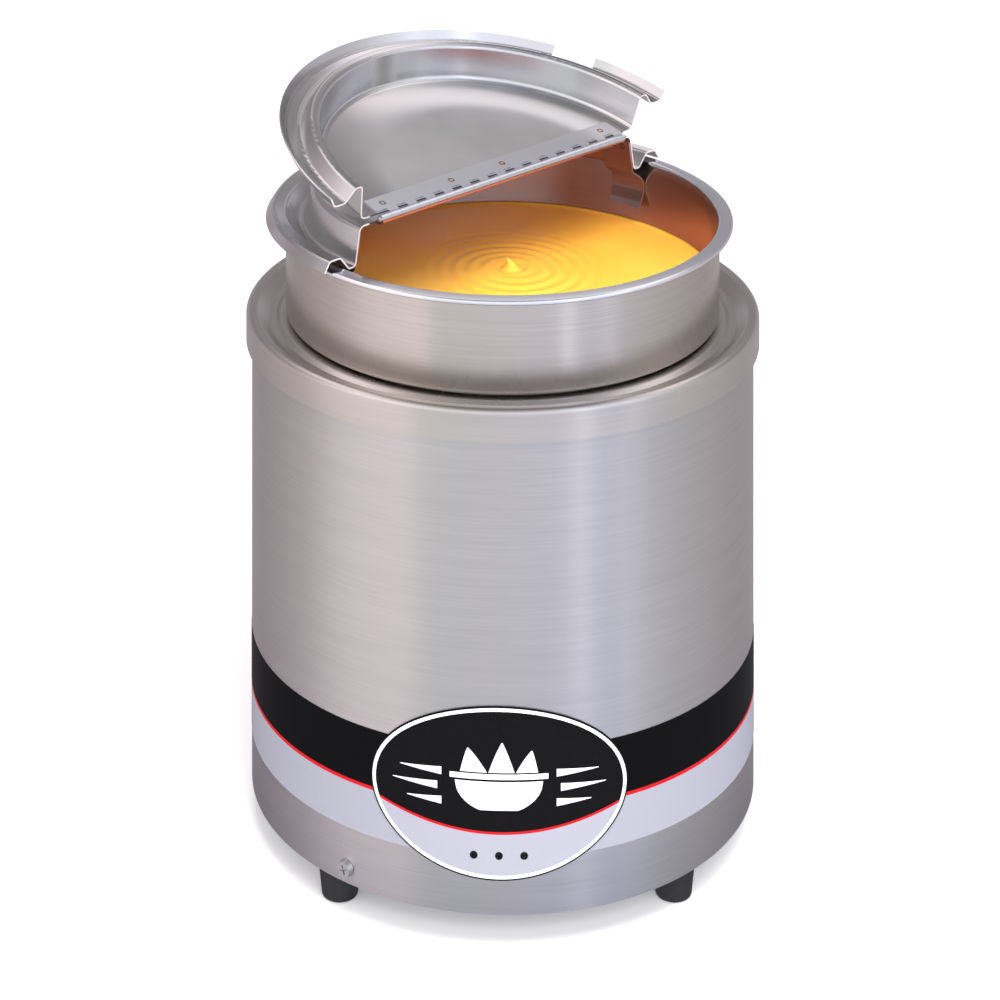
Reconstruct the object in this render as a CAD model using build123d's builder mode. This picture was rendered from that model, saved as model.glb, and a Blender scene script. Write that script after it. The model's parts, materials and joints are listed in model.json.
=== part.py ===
from build123d import *

import os
from math import cos, pi, radians, sin

# Countertop cheese warmer: a heated drum with a lift-out pot and a two-half hinged lid.
# Millimetres. Z = 0 is the counter under the feet, the Z axis is the drum's axis, -Y is the front
# and +Y is the back with the controls.

# ---------------------------------------------------------------- driving dimensions
SHEET = 0.8  # stainless sheet
GAP = 0.05  # running and stacking clearance
HALF = SHEET / 2  # sheet outlines are drawn along the middle of the sheet

FOOT_HEIGHT = 20.0
FOOT_TOP_R = 11.0
FOOT_TAPER = 6.2  # degrees
FOOT_SPREAD = 82.0  # feet stand at (+-82, +-82)

SHELL_R = 130.0  # outside of the drum
SHELL_BOTTOM = 18.0
SHELL_TOP = 253.0
RING_R = 133.0  # outside of the top ring's skirt
RING_TOP = 256.0
RING_SKIRT_BOTTOM = 242.0
OPENING_R = 108.0  # standard 8 1/2 in opening for a 7 quart pot
GROOVE_OUTER_R = 123.5  # shallow groove rolled into the ring's deck
GROOVE_INNER_R = 114.8
GROOVE_SLOPE = 2.4
GROOVE_DEPTH = 2.0

POT_WALL_R = 106.0  # outside of the pot below the collar
POT_FLOOR = 99.5
COLLAR_R = 112.55  # outside of the pot's collar
RIM_Z = 305.55  # centre of the rolled rim
RIM_R = 115.7
RIM_TUBE_R = 3.95  # outside of the rolled rim's tube
CHEESE_TOP = 272.0

WELL_R = 110.2  # outside of the water well
WELL_FLOOR = 77.6  # underside of the water well

LID_TOP = 323.0  # upper face of the closed lid
HINGE_AZIMUTH = 43.5  # direction of the hinge line, counter-clockwise from +X
OPEN_ANGLE = 166.0  # how far the front half is flipped back
PIN_OFFSET = 2.0  # hinge pin, in front of the drum's axis
PIN_Z = 324.2
PIN_R = 1.25
BARREL_R = 2.2
KNUCKLE_PITCH = 6.35
KNUCKLE_PAIRS = 14
HINGE_START = -88.0  # along the hinge line
LEAF_REACH = 13.5  # from the pin to a leaf's free edge
LID_EDGE = 2.7  # from the pin to each half's straight edge

CONTROL_Z = 46.0  # height of the thermostat's shaft
KNOB_X = -14.0
LAMP_X = 24.0
BEZEL_FACE = 138.0  # flat outer face of the control bezel, along Y

# ---------------------------------------------------------------- shared geometry
ORIGIN = (0, 0, 0)
HINGE_DIR = (cos(radians(HINGE_AZIMUTH)), sin(radians(HINGE_AZIMUTH)), 0)
# closed lid: local X runs along the hinge, local -Y is the front half's side, local Z is up
lid_plane = Plane(origin=ORIGIN, x_dir=HINGE_DIR, z_dir=(0, 0, 1))
pin_plane = lid_plane.offset(PIN_Z).shift_origin(
    lid_plane.offset(PIN_Z).from_local_coords((0, -PIN_OFFSET, 0))
)


def swung(plane):
    """The same plane after the front half has been flipped open about the hinge pin."""
    hinge = pin_plane.location
    return Plane(hinge * Location((0, 0, 0), (-OPEN_ANGLE, 0, 0)) * hinge.inverse() * plane.location)


def on_lid(x, y, z, x_dir=(1, 0, 0), z_dir=(0, 0, 1)):
    """A plane given in the closed lid's own coordinates."""
    flat = Plane(origin=(x, y, z), x_dir=x_dir, z_dir=z_dir)
    return Plane(lid_plane.location * flat.location)


def around(radius, azimuth, z=0.0):
    """Point on a circle round the drum's axis; azimuth 0 is the front and 90 is +X."""
    a = radians(azimuth)
    return (radius * sin(a), -radius * cos(a), z)


def radial_plane(radius, azimuth, z):
    """Plane whose normal points straight out of the drum at that azimuth."""
    return Plane(origin=around(radius, azimuth, z), x_dir=(0, 0, 1), z_dir=around(1, azimuth))


def finish(piece, label):
    """Names a finished piece and writes it out."""
    piece.part.label = label
    export_step(piece.part, f"parts/{label}.step")


os.makedirs("parts", exist_ok=True)

# ================================================================ drum
SCREW_AZIMUTHS = (-37.0, 100.0, 220.0)
SCREW_Z = 25.4
SCREW_R = 1.9
CUT = 12.0  # depth of a cut that only has to pass through the drum's wall
CORD_AZIMUTH = 148.0
CORD_Z = 46.0
CORD_R = 4.0
BUSH_R = 7.0
NECK_R = 5.0  # threaded neck of the thermostat
LAMP_BODY_R = 4.5

with BuildPart() as outer_shell:
    with BuildSketch(Plane.XY.offset(SHELL_BOTTOM)):
        Circle(SHELL_R)
        Circle(SHELL_R - SHEET, mode=Mode.SUBTRACT)
    extrude(amount=SHELL_TOP - SHELL_BOTTOM)
    for azimuth in SCREW_AZIMUTHS:
        with BuildSketch(radial_plane(SHELL_R, azimuth, SCREW_Z)):
            Circle(SCREW_R + GAP)
        extrude(amount=CUT / 2, both=True, mode=Mode.SUBTRACT)
    with BuildSketch(radial_plane(SHELL_R, CORD_AZIMUTH, CORD_Z)):
        Circle(BUSH_R + GAP)
    extrude(amount=CUT / 2, both=True, mode=Mode.SUBTRACT)
    for x, hole_r in ((KNOB_X, NECK_R), (LAMP_X, LAMP_BODY_R)):
        with BuildSketch(Plane(origin=(x, SHELL_R - CUT, CONTROL_Z), z_dir=(0, 1, 0))):
            Circle(hole_r + GAP)
        extrude(amount=CUT, mode=Mode.SUBTRACT)
finish(outer_shell, "outer_shell")

RING_DECK = RING_TOP - HALF
GROOVE_FLOOR = RING_DECK - GROOVE_DEPTH
RING_LIP = 8.0  # how far the opening's lip turns down

with BuildPart() as top_ring:
    with BuildSketch(Plane.XZ):
        with BuildLine():
            FilletPolyline(
                (RING_R - HALF, RING_SKIRT_BOTTOM),
                (RING_R - HALF, RING_DECK),
                (GROOVE_OUTER_R, RING_DECK),
                (GROOVE_OUTER_R - GROOVE_SLOPE, GROOVE_FLOOR),
                (GROOVE_INNER_R + GROOVE_SLOPE, GROOVE_FLOOR),
                (GROOVE_INNER_R, RING_DECK),
                (OPENING_R + HALF, RING_DECK),
                (OPENING_R + HALF, RING_TOP - RING_LIP),
                radius=(4.5, 2, 1.2, 1.2, 2, 2.5),
            )
        trace(line_width=SHEET)
    revolve(axis=Axis.Z)
finish(top_ring, "top_ring")

WELL_FLANGE_R = 123.0
WELL_FLANGE_Z = GROOVE_FLOOR - SHEET - 2 * GAP  # the flange hangs under the ring's groove

with BuildPart() as well_liner:
    with BuildSketch(Plane.XZ):
        with BuildLine():
            FilletPolyline(
                (0, WELL_FLOOR + HALF),
                (WELL_R - HALF, WELL_FLOOR + HALF),
                (WELL_R - HALF, WELL_FLANGE_Z),
                (WELL_FLANGE_R, WELL_FLANGE_Z),
                radius=(11, 1.5),
            )
        trace(line_width=SHEET)
    revolve(axis=Axis.Z)
finish(well_liner, "well_liner")

BLANKET_BOTTOM = 92.0
BLANKET_HEIGHT = 154.0
BLANKET_THICKNESS = 10.0

with BuildPart() as insulation_blanket:
    with BuildSketch(Plane.XY.offset(BLANKET_BOTTOM)):
        Circle(WELL_R + 1 + BLANKET_THICKNESS)
        Circle(WELL_R + 1, mode=Mode.SUBTRACT)
    extrude(amount=BLANKET_HEIGHT)
finish(insulation_blanket, "insulation_blanket")

# ---------------------------------------------------------------- base
PAN_FLOOR = 20.0
PAN_R = SHELL_R - SHEET - GAP
FOOT_SPOTS = [(sx * FOOT_SPREAD, sy * FOOT_SPREAD) for sx in (-1, 1) for sy in (-1, 1)]
FOOT_SCREW_R = 2.0
STUD_SPOT = (-30.0, 20.0)  # ground stud on the pan
PAN_RIM = 13.0
VENT_RING_R = 62.0
VENT_COUNT = 16
VENT_LENGTH = 26.0
VENT_WIDTH = 5.0

with BuildPart() as base_pan:
    with BuildSketch(Plane.XZ):
        with BuildLine():
            FilletPolyline(
                (0, PAN_FLOOR + HALF),
                (PAN_R - HALF, PAN_FLOOR + HALF),
                (PAN_R - HALF, PAN_FLOOR + PAN_RIM),
                radius=1.5,
            )
        trace(line_width=SHEET)
    revolve(axis=Axis.Z)
    with BuildSketch(Plane.XY.offset(PAN_FLOOR - 1)):
        with PolarLocations(VENT_RING_R, VENT_COUNT):
            SlotOverall(VENT_LENGTH, VENT_WIDTH)
        with Locations(*FOOT_SPOTS):
            Circle(FOOT_SCREW_R + GAP)
        with Locations(STUD_SPOT):
            Circle(FOOT_SCREW_R + GAP)
    extrude(amount=3, mode=Mode.SUBTRACT)
    for azimuth in SCREW_AZIMUTHS:
        with BuildSketch(radial_plane(SHELL_R, azimuth, SCREW_Z)):
            Circle(SCREW_R + GAP)
        extrude(amount=CUT / 2, both=True, mode=Mode.SUBTRACT)
finish(base_pan, "base_pan")

HEAD_R = 4.25
HEAD_HEIGHT = 2.6
SCREW_LENGTH = 9.0
RECESS_LENGTH = 4.4
RECESS_WIDTH = 0.9
RECESS_DEPTH = 1.5
RECESS_TURN = 20.0  # the recess stands a little askew

with BuildPart() as shell_screws:
    for azimuth in SCREW_AZIMUTHS:
        head_plane = radial_plane(SHELL_R + 0.1, azimuth, SCREW_Z)
        with BuildSketch(head_plane):
            Circle(HEAD_R)
        extrude(amount=HEAD_HEIGHT, taper=14)
        with BuildSketch(head_plane):
            Circle(SCREW_R)
        extrude(amount=-SCREW_LENGTH)
        with BuildSketch(head_plane.offset(HEAD_HEIGHT)):
            Rectangle(RECESS_LENGTH, RECESS_WIDTH, rotation=RECESS_TURN)
            Rectangle(RECESS_WIDTH, RECESS_LENGTH, rotation=RECESS_TURN)
        extrude(amount=-RECESS_DEPTH, mode=Mode.SUBTRACT)
finish(shell_screws, "shell_screws")

FOOT_SEAT = 11.0  # the screw's head sits this far up inside the foot
FOOT_BORE_R = 5.0
FOOT_HEAD_HEIGHT = 3.0

with BuildPart() as rubber_feet:
    with BuildSketch(Plane.XY.offset(FOOT_HEIGHT)):
        with Locations(*FOOT_SPOTS):
            Circle(FOOT_TOP_R)
    extrude(amount=-FOOT_HEIGHT, taper=FOOT_TAPER)
    fillet(rubber_feet.faces().group_by(Axis.Z)[0].edges(), 1.6)
    with BuildSketch(Plane.XY):
        with Locations(*FOOT_SPOTS):
            Circle(FOOT_BORE_R)
    extrude(amount=FOOT_SEAT, mode=Mode.SUBTRACT)
    with BuildSketch(Plane.XY.offset(FOOT_SEAT)):
        with Locations(*FOOT_SPOTS):
            Circle(FOOT_SCREW_R + GAP)
    extrude(amount=FOOT_HEIGHT - FOOT_SEAT, mode=Mode.SUBTRACT)
finish(rubber_feet, "rubber_feet")

with BuildPart() as foot_screws:
    with BuildSketch(Plane.XY.offset(FOOT_SEAT)):
        with Locations(*FOOT_SPOTS):
            Circle(FOOT_BORE_R - 1)
    extrude(amount=-FOOT_HEAD_HEIGHT)
    with BuildSketch(Plane.XY.offset(FOOT_SEAT)):
        with Locations(*FOOT_SPOTS):
            Circle(FOOT_SCREW_R)
    extrude(amount=16)
    with BuildSketch(Plane.XY.offset(FOOT_SEAT - FOOT_HEAD_HEIGHT)):
        with Locations(*FOOT_SPOTS):
            Rectangle(RECESS_LENGTH, RECESS_WIDTH)
            Rectangle(RECESS_WIDTH, RECESS_LENGTH)
    extrude(amount=RECESS_DEPTH, mode=Mode.SUBTRACT)
finish(foot_screws, "foot_screws")

NUT_R = 4.04  # across the corners, half

with BuildPart() as foot_nuts:
    with BuildSketch(Plane.XY.offset(PAN_FLOOR + SHEET)):
        with Locations(*FOOT_SPOTS):
            RegularPolygon(NUT_R, 6)
            Circle(FOOT_SCREW_R + GAP, mode=Mode.SUBTRACT)
    extrude(amount=3.2)
finish(foot_nuts, "foot_nuts")

# ---------------------------------------------------------------- printed wrap and badge
BAND_TOP = 96.8
BAND_BOTTOM = 45.3
PRINT = 0.2  # thickness of a printed film
BADGE_Z = 76.0
BADGE_HALF_WIDTH = 61.2
BADGE_HALF_HEIGHT = 41.4
BADGE_FILM = 0.4
WRAP_GAP_WIDTH = 90.0  # the wrap stops either side of the controls
BUSH_FLANGE_R = 9.5

with BuildPart() as graphic_wrap:
    with BuildSketch(Plane.XY.offset(BAND_BOTTOM)):
        Circle(SHELL_R + PRINT)
        Circle(SHELL_R, mode=Mode.SUBTRACT)
    extrude(amount=BAND_TOP - BAND_BOTTOM)
    with BuildSketch(Plane.XY.offset(BAND_BOTTOM)):
        with Locations((0, SHELL_R)):
            Rectangle(WRAP_GAP_WIDTH, 2 * CUT + 20)
    extrude(amount=CONTROL_Z + 26 - BAND_BOTTOM, mode=Mode.SUBTRACT)
    with BuildSketch(radial_plane(SHELL_R, CORD_AZIMUTH, CORD_Z)):
        Circle(BUSH_FLANGE_R + 0.5)
    extrude(amount=CUT / 2, both=True, mode=Mode.SUBTRACT)
finish(graphic_wrap, "graphic_wrap")

with BuildPart() as badge:
    with BuildSketch(Plane.XY.offset(BADGE_Z)):
        Circle(SHELL_R + PRINT + BADGE_FILM)
        Circle(SHELL_R + PRINT, mode=Mode.SUBTRACT)
    extrude(amount=BADGE_HALF_HEIGHT + 1, both=True)
    with BuildSketch(Plane(origin=(0, -SHELL_R - CUT, BADGE_Z), x_dir=(-1, 0, 0), z_dir=(0, 1, 0))):
        Ellipse(BADGE_HALF_WIDTH, BADGE_HALF_HEIGHT)
    extrude(amount=5 * CUT, mode=Mode.INTERSECT)
finish(badge, "badge")

# ================================================================ pot and cheese
POT_SHOULDER = RING_TOP + 1.1  # the shoulder rests over the ring's deck
POT_DRAFT = 1.0  # the pot narrows by this much towards its floor
RIM_CURL = 320.0  # degrees of the rolled rim

with BuildPart() as inset_pot:
    with BuildSketch(Plane.XZ):
        with BuildLine():
            FilletPolyline(
                (0, POT_FLOOR + HALF),
                (POT_WALL_R - HALF - POT_DRAFT, POT_FLOOR + HALF),
                (POT_WALL_R - HALF, POT_SHOULDER),
                (COLLAR_R - HALF, POT_SHOULDER),
                (COLLAR_R - HALF, RIM_Z),
                radius=(14, 2, 2.6),
            )
            CenterArc((RIM_R, RIM_Z), RIM_R - COLLAR_R + HALF, 180, -RIM_CURL)
        trace(line_width=SHEET)
    revolve(axis=Axis.Z)
finish(inset_pot, "inset_pot")

CHEESE_FLOOR = POT_FLOOR + SHEET + 0.2
CHEESE_R = POT_WALL_R - SHEET - 0.3  # below the pot's shoulder
CHEESE_TOP_R = COLLAR_R - SHEET - 0.3

with BuildPart() as cheese_sauce:
    with BuildSketch(Plane.XZ):
        with BuildLine():
            Polyline(
                (0, CHEESE_FLOOR),
                (90, CHEESE_FLOOR),
                (CHEESE_R - 1.3, CHEESE_FLOOR + 15),
                (CHEESE_R, RING_TOP - 1),
                (CHEESE_R, RING_TOP + 2),
                (CHEESE_TOP_R - 1.7, RING_TOP + 2),
                (CHEESE_TOP_R, RING_TOP + 5),
                (CHEESE_TOP_R, CHEESE_TOP),
                (0, CHEESE_TOP),
                close=True,
            )
        make_face()
    revolve(axis=Axis.Z)
finish(cheese_sauce, "cheese_sauce")

# ================================================================ lid
# Half section of the closed lid: flat top, wall, gutter, arch over the pot's rim, skirt.
LID_ARCH = RIM_Z + RIM_TUBE_R + HALF + 0.5  # middle of the sheet where it passes over the rim
LID_SECTION = (
    (0, LID_TOP - HALF),
    (99.1, LID_TOP - HALF),
    (102.4, RIM_Z - 1.7),
    (106.6, RIM_Z - 1.8),
    (112.3, LID_ARCH),
    (119.3, LID_ARCH),
    (122.6, RIM_Z - 0.2),
)
LID_BENDS = (3.4, 2.0, 2.2, 2.6, 2.8)
LID_CUT_FROM = 250.0  # below the lid's lowest edge
LID_CUT = 120.0
BIG = 300.0  # wider than the whole lid


def lid_outline():
    """Middle of the lid's sheet, drawn into the line block that calls it."""
    return FilletPolyline(*LID_SECTION, radius=LID_BENDS)


def hinge_leaf(side, leaf_plane, first_knuckle):
    """One piano-hinge leaf: a strip under the lid's flat, with every other knuckle."""
    length = 2 * KNUCKLE_PAIRS * KNUCKLE_PITCH
    inner_edge = 0.6  # where the strip leaves its knuckles' barrels
    clearance = 1.0  # round the other leaf's knuckles
    strip = LEAF_REACH - inner_edge
    strip_top = LID_TOP - SHEET - PIN_Z
    end = leaf_plane(HINGE_START, 0, 0)
    with BuildPart() as leaf:
        with BuildSketch(end):
            with Locations((side * (inner_edge + strip / 2), strip_top - HALF)):
                Rectangle(strip, SHEET)
            Circle(BARREL_R)
        extrude(amount=length)
        with BuildSketch(end):
            Circle(PIN_R + GAP)
        extrude(amount=length, mode=Mode.SUBTRACT)
        for index in range(KNUCKLE_PAIRS):
            # the other leaf's knuckle turns in this cut-out
            start = HINGE_START + (2 * index + 1 - first_knuckle) * KNUCKLE_PITCH
            with BuildSketch(leaf_plane(start - GAP, 0, 0)):
                Circle(BARREL_R + clearance)
                with Locations((side * (BARREL_R + clearance) / 2, -(BARREL_R + clearance) / 2)):
                    Rectangle(BARREL_R + clearance, BARREL_R + clearance)
            extrude(amount=KNUCKLE_PITCH + 2 * GAP, mode=Mode.SUBTRACT)
    return leaf


def pin_section(x, y, z):
    """Cross-section plane of the closed hinge at x along the pin: local x is rearward, local y is up."""
    return Plane(pin_plane.location * Plane(origin=(x, y, z), x_dir=(0, 1, 0), z_dir=(1, 0, 0)).location)


def pin_section_open(x, y, z):
    """The same cross-section plane, flipped open with the front half."""
    return swung(pin_section(x, y, z))


with BuildPart() as lid_rear_half:
    with BuildSketch(Plane.XZ):
        with BuildLine():
            lid_outline()
        trace(line_width=SHEET)
    revolve(axis=Axis.Z)
    with BuildSketch(on_lid(0, LID_EDGE - PIN_OFFSET - BIG / 2, LID_CUT_FROM)):
        Rectangle(BIG, BIG)
    extrude(amount=LID_CUT, mode=Mode.SUBTRACT)
finish(lid_rear_half, "lid_rear_half")

hinge_leaf_rear = hinge_leaf(1, pin_section, 0)
finish(hinge_leaf_rear, "hinge_leaf_rear")

with BuildPart() as hinge_pin:
    with BuildSketch(pin_section(HINGE_START - 1.5, 0, 0)):
        Circle(PIN_R)
    extrude(amount=2 * KNUCKLE_PAIRS * KNUCKLE_PITCH + 3)
finish(hinge_pin, "hinge_pin")

CLIP_SWEEP = 12.0  # degrees of the rim that each clip covers, with its margin
CLIP_MARGIN = 0.6
CLIP_SECTION = (
    (98.89, 319.0),
    (101.9, 301.9),
    (107.4, 298.4),
    (110.9, 294.6),
    (110.9, 289.2),
    (108.4, 284.0),
    (107.3, 280.6),
)

with BuildPart() as lid_clips:
    for end_azimuth in (0.0, 180.0 - CLIP_SWEEP):
        turn = radians(HINGE_AZIMUTH + end_azimuth + CLIP_MARGIN)
        clip_plane = Plane(origin=ORIGIN, x_dir=(cos(turn), sin(turn), 0), z_dir=(sin(turn), -cos(turn), 0))
        with BuildSketch(clip_plane):
            with BuildLine():
                FilletPolyline(*CLIP_SECTION, radius=(1.6, 2.5, 2.6, 3, 1))
            trace(line_width=SHEET)
        revolve(axis=Axis.Z, revolution_arc=CLIP_SWEEP - 2 * CLIP_MARGIN)
finish(lid_clips, "lid_clips")

NOTCH_FROM = 55.2  # degrees round the front half, towards the hinge's rear-right end
NOTCH_TO = 66.7
NOTCH_R = 120.5  # centre of the notch across the arch
NOTCH_REACH = 14.0

with BuildPart() as lid_front_half:
    with BuildSketch(swung(Plane.XZ)):
        with BuildLine():
            lid_outline()
        trace(line_width=SHEET)
    revolve(axis=Axis(swung(Plane.XY).origin, swung(Plane.XY).z_dir))
    with BuildSketch(swung(on_lid(0, BIG / 2 - PIN_OFFSET - LID_EDGE, LID_CUT_FROM))):
        Rectangle(BIG, BIG)
    extrude(amount=LID_CUT, mode=Mode.SUBTRACT)
    # spoon notch through the arch and the skirt
    notch_azimuth = (NOTCH_FROM + NOTCH_TO) / 2
    notch_turn = radians(notch_azimuth - 90)
    notch_width = 2 * NOTCH_R * sin(radians(NOTCH_TO - NOTCH_FROM) / 2)
    with BuildSketch(swung(on_lid(0, 0, RIM_Z - 10, x_dir=(cos(notch_turn), sin(notch_turn), 0)))):
        with Locations((NOTCH_R, 0)):
            RectangleRounded(NOTCH_REACH, notch_width, 3)
    extrude(amount=30, mode=Mode.SUBTRACT)
finish(lid_front_half, "lid_front_half")

hinge_leaf_front = hinge_leaf(-1, pin_section_open, 1)
finish(hinge_leaf_front, "hinge_leaf_front")

HANDLE_CENTRE = -74.0  # in front of the pin when closed
HANDLE_HALF_SPAN = 34.0
HANDLE_HEIGHT = 19.0
HANDLE_FOOT = 12.0
HANDLE_WIDTH = 14.0
HANDLE_SHEET = 1.5
HANDLE_SLOPE = 7.0
handle_edge = HANDLE_CENTRE - PIN_OFFSET + HANDLE_WIDTH / 2

with BuildPart() as lid_handle:
    base = LID_TOP + HANDLE_SHEET / 2
    crown = LID_TOP + HANDLE_HEIGHT - HANDLE_SHEET / 2
    with BuildSketch(swung(on_lid(0, handle_edge, 0, z_dir=(0, -1, 0)))):
        with BuildLine():
            FilletPolyline(
                (-HANDLE_HALF_SPAN - HANDLE_FOOT, base),
                (-HANDLE_HALF_SPAN, base),
                (-HANDLE_HALF_SPAN + HANDLE_SLOPE, crown),
                (HANDLE_HALF_SPAN - HANDLE_SLOPE, crown),
                (HANDLE_HALF_SPAN, base),
                (HANDLE_HALF_SPAN + HANDLE_FOOT, base),
                radius=(3, 6, 6, 3),
            )
        trace(line_width=HANDLE_SHEET)
    extrude(amount=HANDLE_WIDTH)
finish(lid_handle, "lid_handle")

# ================================================================ heating
ELEMENT_R = 74.0
ELEMENT_TUBE_R = 4.0
ELEMENT_Z = WELL_FLOOR - ELEMENT_TUBE_R
ELEMENT_GAP = 9.0  # half angle between the element's two legs
LEG_BOTTOM = 50.0
PIN_LENGTH = 6.0  # the element's cold pins
PIN_WIDTH_R = 1.5
PLATE_TOP = ELEMENT_Z - ELEMENT_TUBE_R
STUD_R = 3.0
CLAMP_PLATE_SHEET = 1.2
DISC_THICKNESS = 6.0
ELEMENT_TURN = 250.0  # azimuth of the gap between the legs, clear of the controls
LEG_AZIMUTHS = (ELEMENT_TURN - ELEMENT_GAP, ELEMENT_TURN + ELEMENT_GAP)

with BuildPart() as heating_element:
    start = LEG_AZIMUTHS[1]
    with BuildSketch(Plane(origin=ORIGIN, x_dir=around(1, start), z_dir=around(1, start - 90))):
        with Locations((ELEMENT_R, ELEMENT_Z)):
            Circle(ELEMENT_TUBE_R)
    revolve(axis=Axis.Z, revolution_arc=360 - 2 * ELEMENT_GAP)
    for azimuth in LEG_AZIMUTHS:
        with Locations(around(ELEMENT_R, azimuth, ELEMENT_Z)):
            Sphere(ELEMENT_TUBE_R)
        with BuildSketch(Plane(origin=around(ELEMENT_R, azimuth, ELEMENT_Z), z_dir=(0, 0, -1))):
            Circle(ELEMENT_TUBE_R)
        extrude(amount=ELEMENT_Z - LEG_BOTTOM)
        with BuildSketch(Plane(origin=around(ELEMENT_R, azimuth, LEG_BOTTOM), z_dir=(0, 0, -1))):
            Circle(PIN_WIDTH_R)
        extrude(amount=PIN_LENGTH)
finish(heating_element, "heating_element")

LEG_SPOTS = [around(ELEMENT_R, azimuth)[:2] for azimuth in LEG_AZIMUTHS]
CAPILLARY_SPOT = (20.0, 28.0)  # where the capillary passes through the plate and the disc
CAPILLARY_HOLE_R = 4.0
CLAMP_PLATE_R = 86.0
DISC_R = 100.0
DISC_BORE_R = 14.0
WASHER_R = 9.0
WASHER_SHEET = 1.2

with BuildPart() as element_clamp_plate:
    with BuildSketch(Plane.XY.offset(PLATE_TOP)):
        Circle(CLAMP_PLATE_R)
        Circle(STUD_R + GAP, mode=Mode.SUBTRACT)
        with Locations(*LEG_SPOTS):
            Circle(ELEMENT_TUBE_R + 1.5, mode=Mode.SUBTRACT)
        with Locations(CAPILLARY_SPOT):
            Circle(CAPILLARY_HOLE_R, mode=Mode.SUBTRACT)
    extrude(amount=-CLAMP_PLATE_SHEET)
finish(element_clamp_plate, "element_clamp_plate")

with BuildPart() as insulation_disc:
    with BuildSketch(Plane.XY.offset(PLATE_TOP - CLAMP_PLATE_SHEET - GAP)):
        Circle(DISC_R)
        Circle(DISC_BORE_R, mode=Mode.SUBTRACT)
        with Locations(*LEG_SPOTS):
            Circle(ELEMENT_TUBE_R + 2.5, mode=Mode.SUBTRACT)
        with Locations(CAPILLARY_SPOT):
            Circle(CAPILLARY_HOLE_R, mode=Mode.SUBTRACT)
    extrude(amount=-DISC_THICKNESS)
finish(insulation_disc, "insulation_disc")

with BuildPart() as clamp_stud:
    with BuildSketch(Plane.XY.offset(WELL_FLOOR)):
        Circle(STUD_R + 2)
    extrude(amount=-1)
    with BuildSketch(Plane.XY.offset(WELL_FLOOR - 1)):
        Circle(STUD_R)
    extrude(amount=-20)
finish(clamp_stud, "clamp_stud")

with BuildPart() as clamp_nut:
    with BuildSketch(Plane.XY.offset(PLATE_TOP - CLAMP_PLATE_SHEET)):
        Circle(WASHER_R)
        Circle(STUD_R + GAP, mode=Mode.SUBTRACT)
    extrude(amount=-WASHER_SHEET)
    with BuildSketch(Plane.XY.offset(PLATE_TOP - CLAMP_PLATE_SHEET - WASHER_SHEET)):
        RegularPolygon(5.77, 6)
        Circle(STUD_R + GAP, mode=Mode.SUBTRACT)
    extrude(amount=-5)
finish(clamp_nut, "clamp_nut")

# ================================================================ controls
THERMOSTAT_FRONT = 92.0  # along Y
THERMOSTAT_BACK = 118.0
THERMOSTAT_BORE = THERMOSTAT_FRONT + 10
NECK_END = BEZEL_FACE + 4.5
SHAFT_R = 3.0
SHAFT_END = 156.0
KNOB_R = 17.0
KNOB_START = BEZEL_FACE + 1.4
KNOB_END = 160.0
BULB_R = 3.0
BULB_Z = PLATE_TOP + BULB_R + GAP
BULB_Y = 28.0

control_plane = Plane(origin=(KNOB_X, 0, CONTROL_Z), x_dir=(-1, 0, 0), z_dir=(0, 1, 0))
lamp_plane = Plane(origin=(LAMP_X, 0, CONTROL_Z), x_dir=(-1, 0, 0), z_dir=(0, 1, 0))

with BuildPart() as thermostat_body:
    with BuildSketch(control_plane.offset(THERMOSTAT_FRONT)):
        RectangleRounded(36, 28, 2)
    extrude(amount=THERMOSTAT_BACK - THERMOSTAT_FRONT)
    with BuildSketch(control_plane.offset(THERMOSTAT_BACK)):
        Circle(NECK_R)
    extrude(amount=NECK_END - THERMOSTAT_BACK)
    with BuildSketch(control_plane.offset(THERMOSTAT_BORE)):
        Circle(SHAFT_R + GAP)
    extrude(amount=NECK_END - THERMOSTAT_BORE, mode=Mode.SUBTRACT)
    with BuildSketch(control_plane.offset(THERMOSTAT_FRONT)):
        with Locations((-10, 6), (10, 6)):
            Rectangle(6, 1)
    extrude(amount=-8)
finish(thermostat_body, "thermostat_body")

with BuildPart() as thermostat_shaft:
    with BuildSketch(control_plane.offset(THERMOSTAT_BORE + GAP)):
        Circle(SHAFT_R)
    extrude(amount=SHAFT_END - THERMOSTAT_BORE - GAP)
    with BuildSketch(control_plane.offset(BEZEL_FACE + 8)):
        with Locations((0, -SHAFT_R - 0.5)):
            Rectangle(8, 3)
    extrude(amount=20, mode=Mode.SUBTRACT)
finish(thermostat_shaft, "thermostat_shaft")

BEZEL_HALF_WIDTH = 44.0
BEZEL_HALF_HEIGHT = 25.0

with BuildPart() as control_bezel:
    with BuildSketch(Plane(origin=(0, BEZEL_FACE, CONTROL_Z), x_dir=(-1, 0, 0), z_dir=(0, 1, 0))):
        RectangleRounded(2 * BEZEL_HALF_WIDTH, 2 * BEZEL_HALF_HEIGHT, 7)
    extrude(amount=-2 * CUT)
    fillet(control_bezel.faces().sort_by(Axis.Y)[-1].edges(), 1.8)
    with BuildSketch(Plane.XY):
        Circle(SHELL_R + GAP)
    extrude(amount=SHELL_TOP, mode=Mode.SUBTRACT)
    for plane, hole_r in ((control_plane, NECK_R), (lamp_plane, LAMP_BODY_R)):
        with BuildSketch(plane.offset(BEZEL_FACE)):
            Circle(hole_r + GAP)
        extrude(amount=-CUT, mode=Mode.SUBTRACT)
finish(control_bezel, "control_bezel")

DIAL_R = 23.0
DIAL_SHEET = 0.5

with BuildPart() as dial_plate:
    with BuildSketch(control_plane.offset(BEZEL_FACE)):
        Circle(DIAL_R)
        Circle(NECK_R + GAP, mode=Mode.SUBTRACT)
    extrude(amount=DIAL_SHEET)
finish(dial_plate, "dial_plate")

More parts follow.
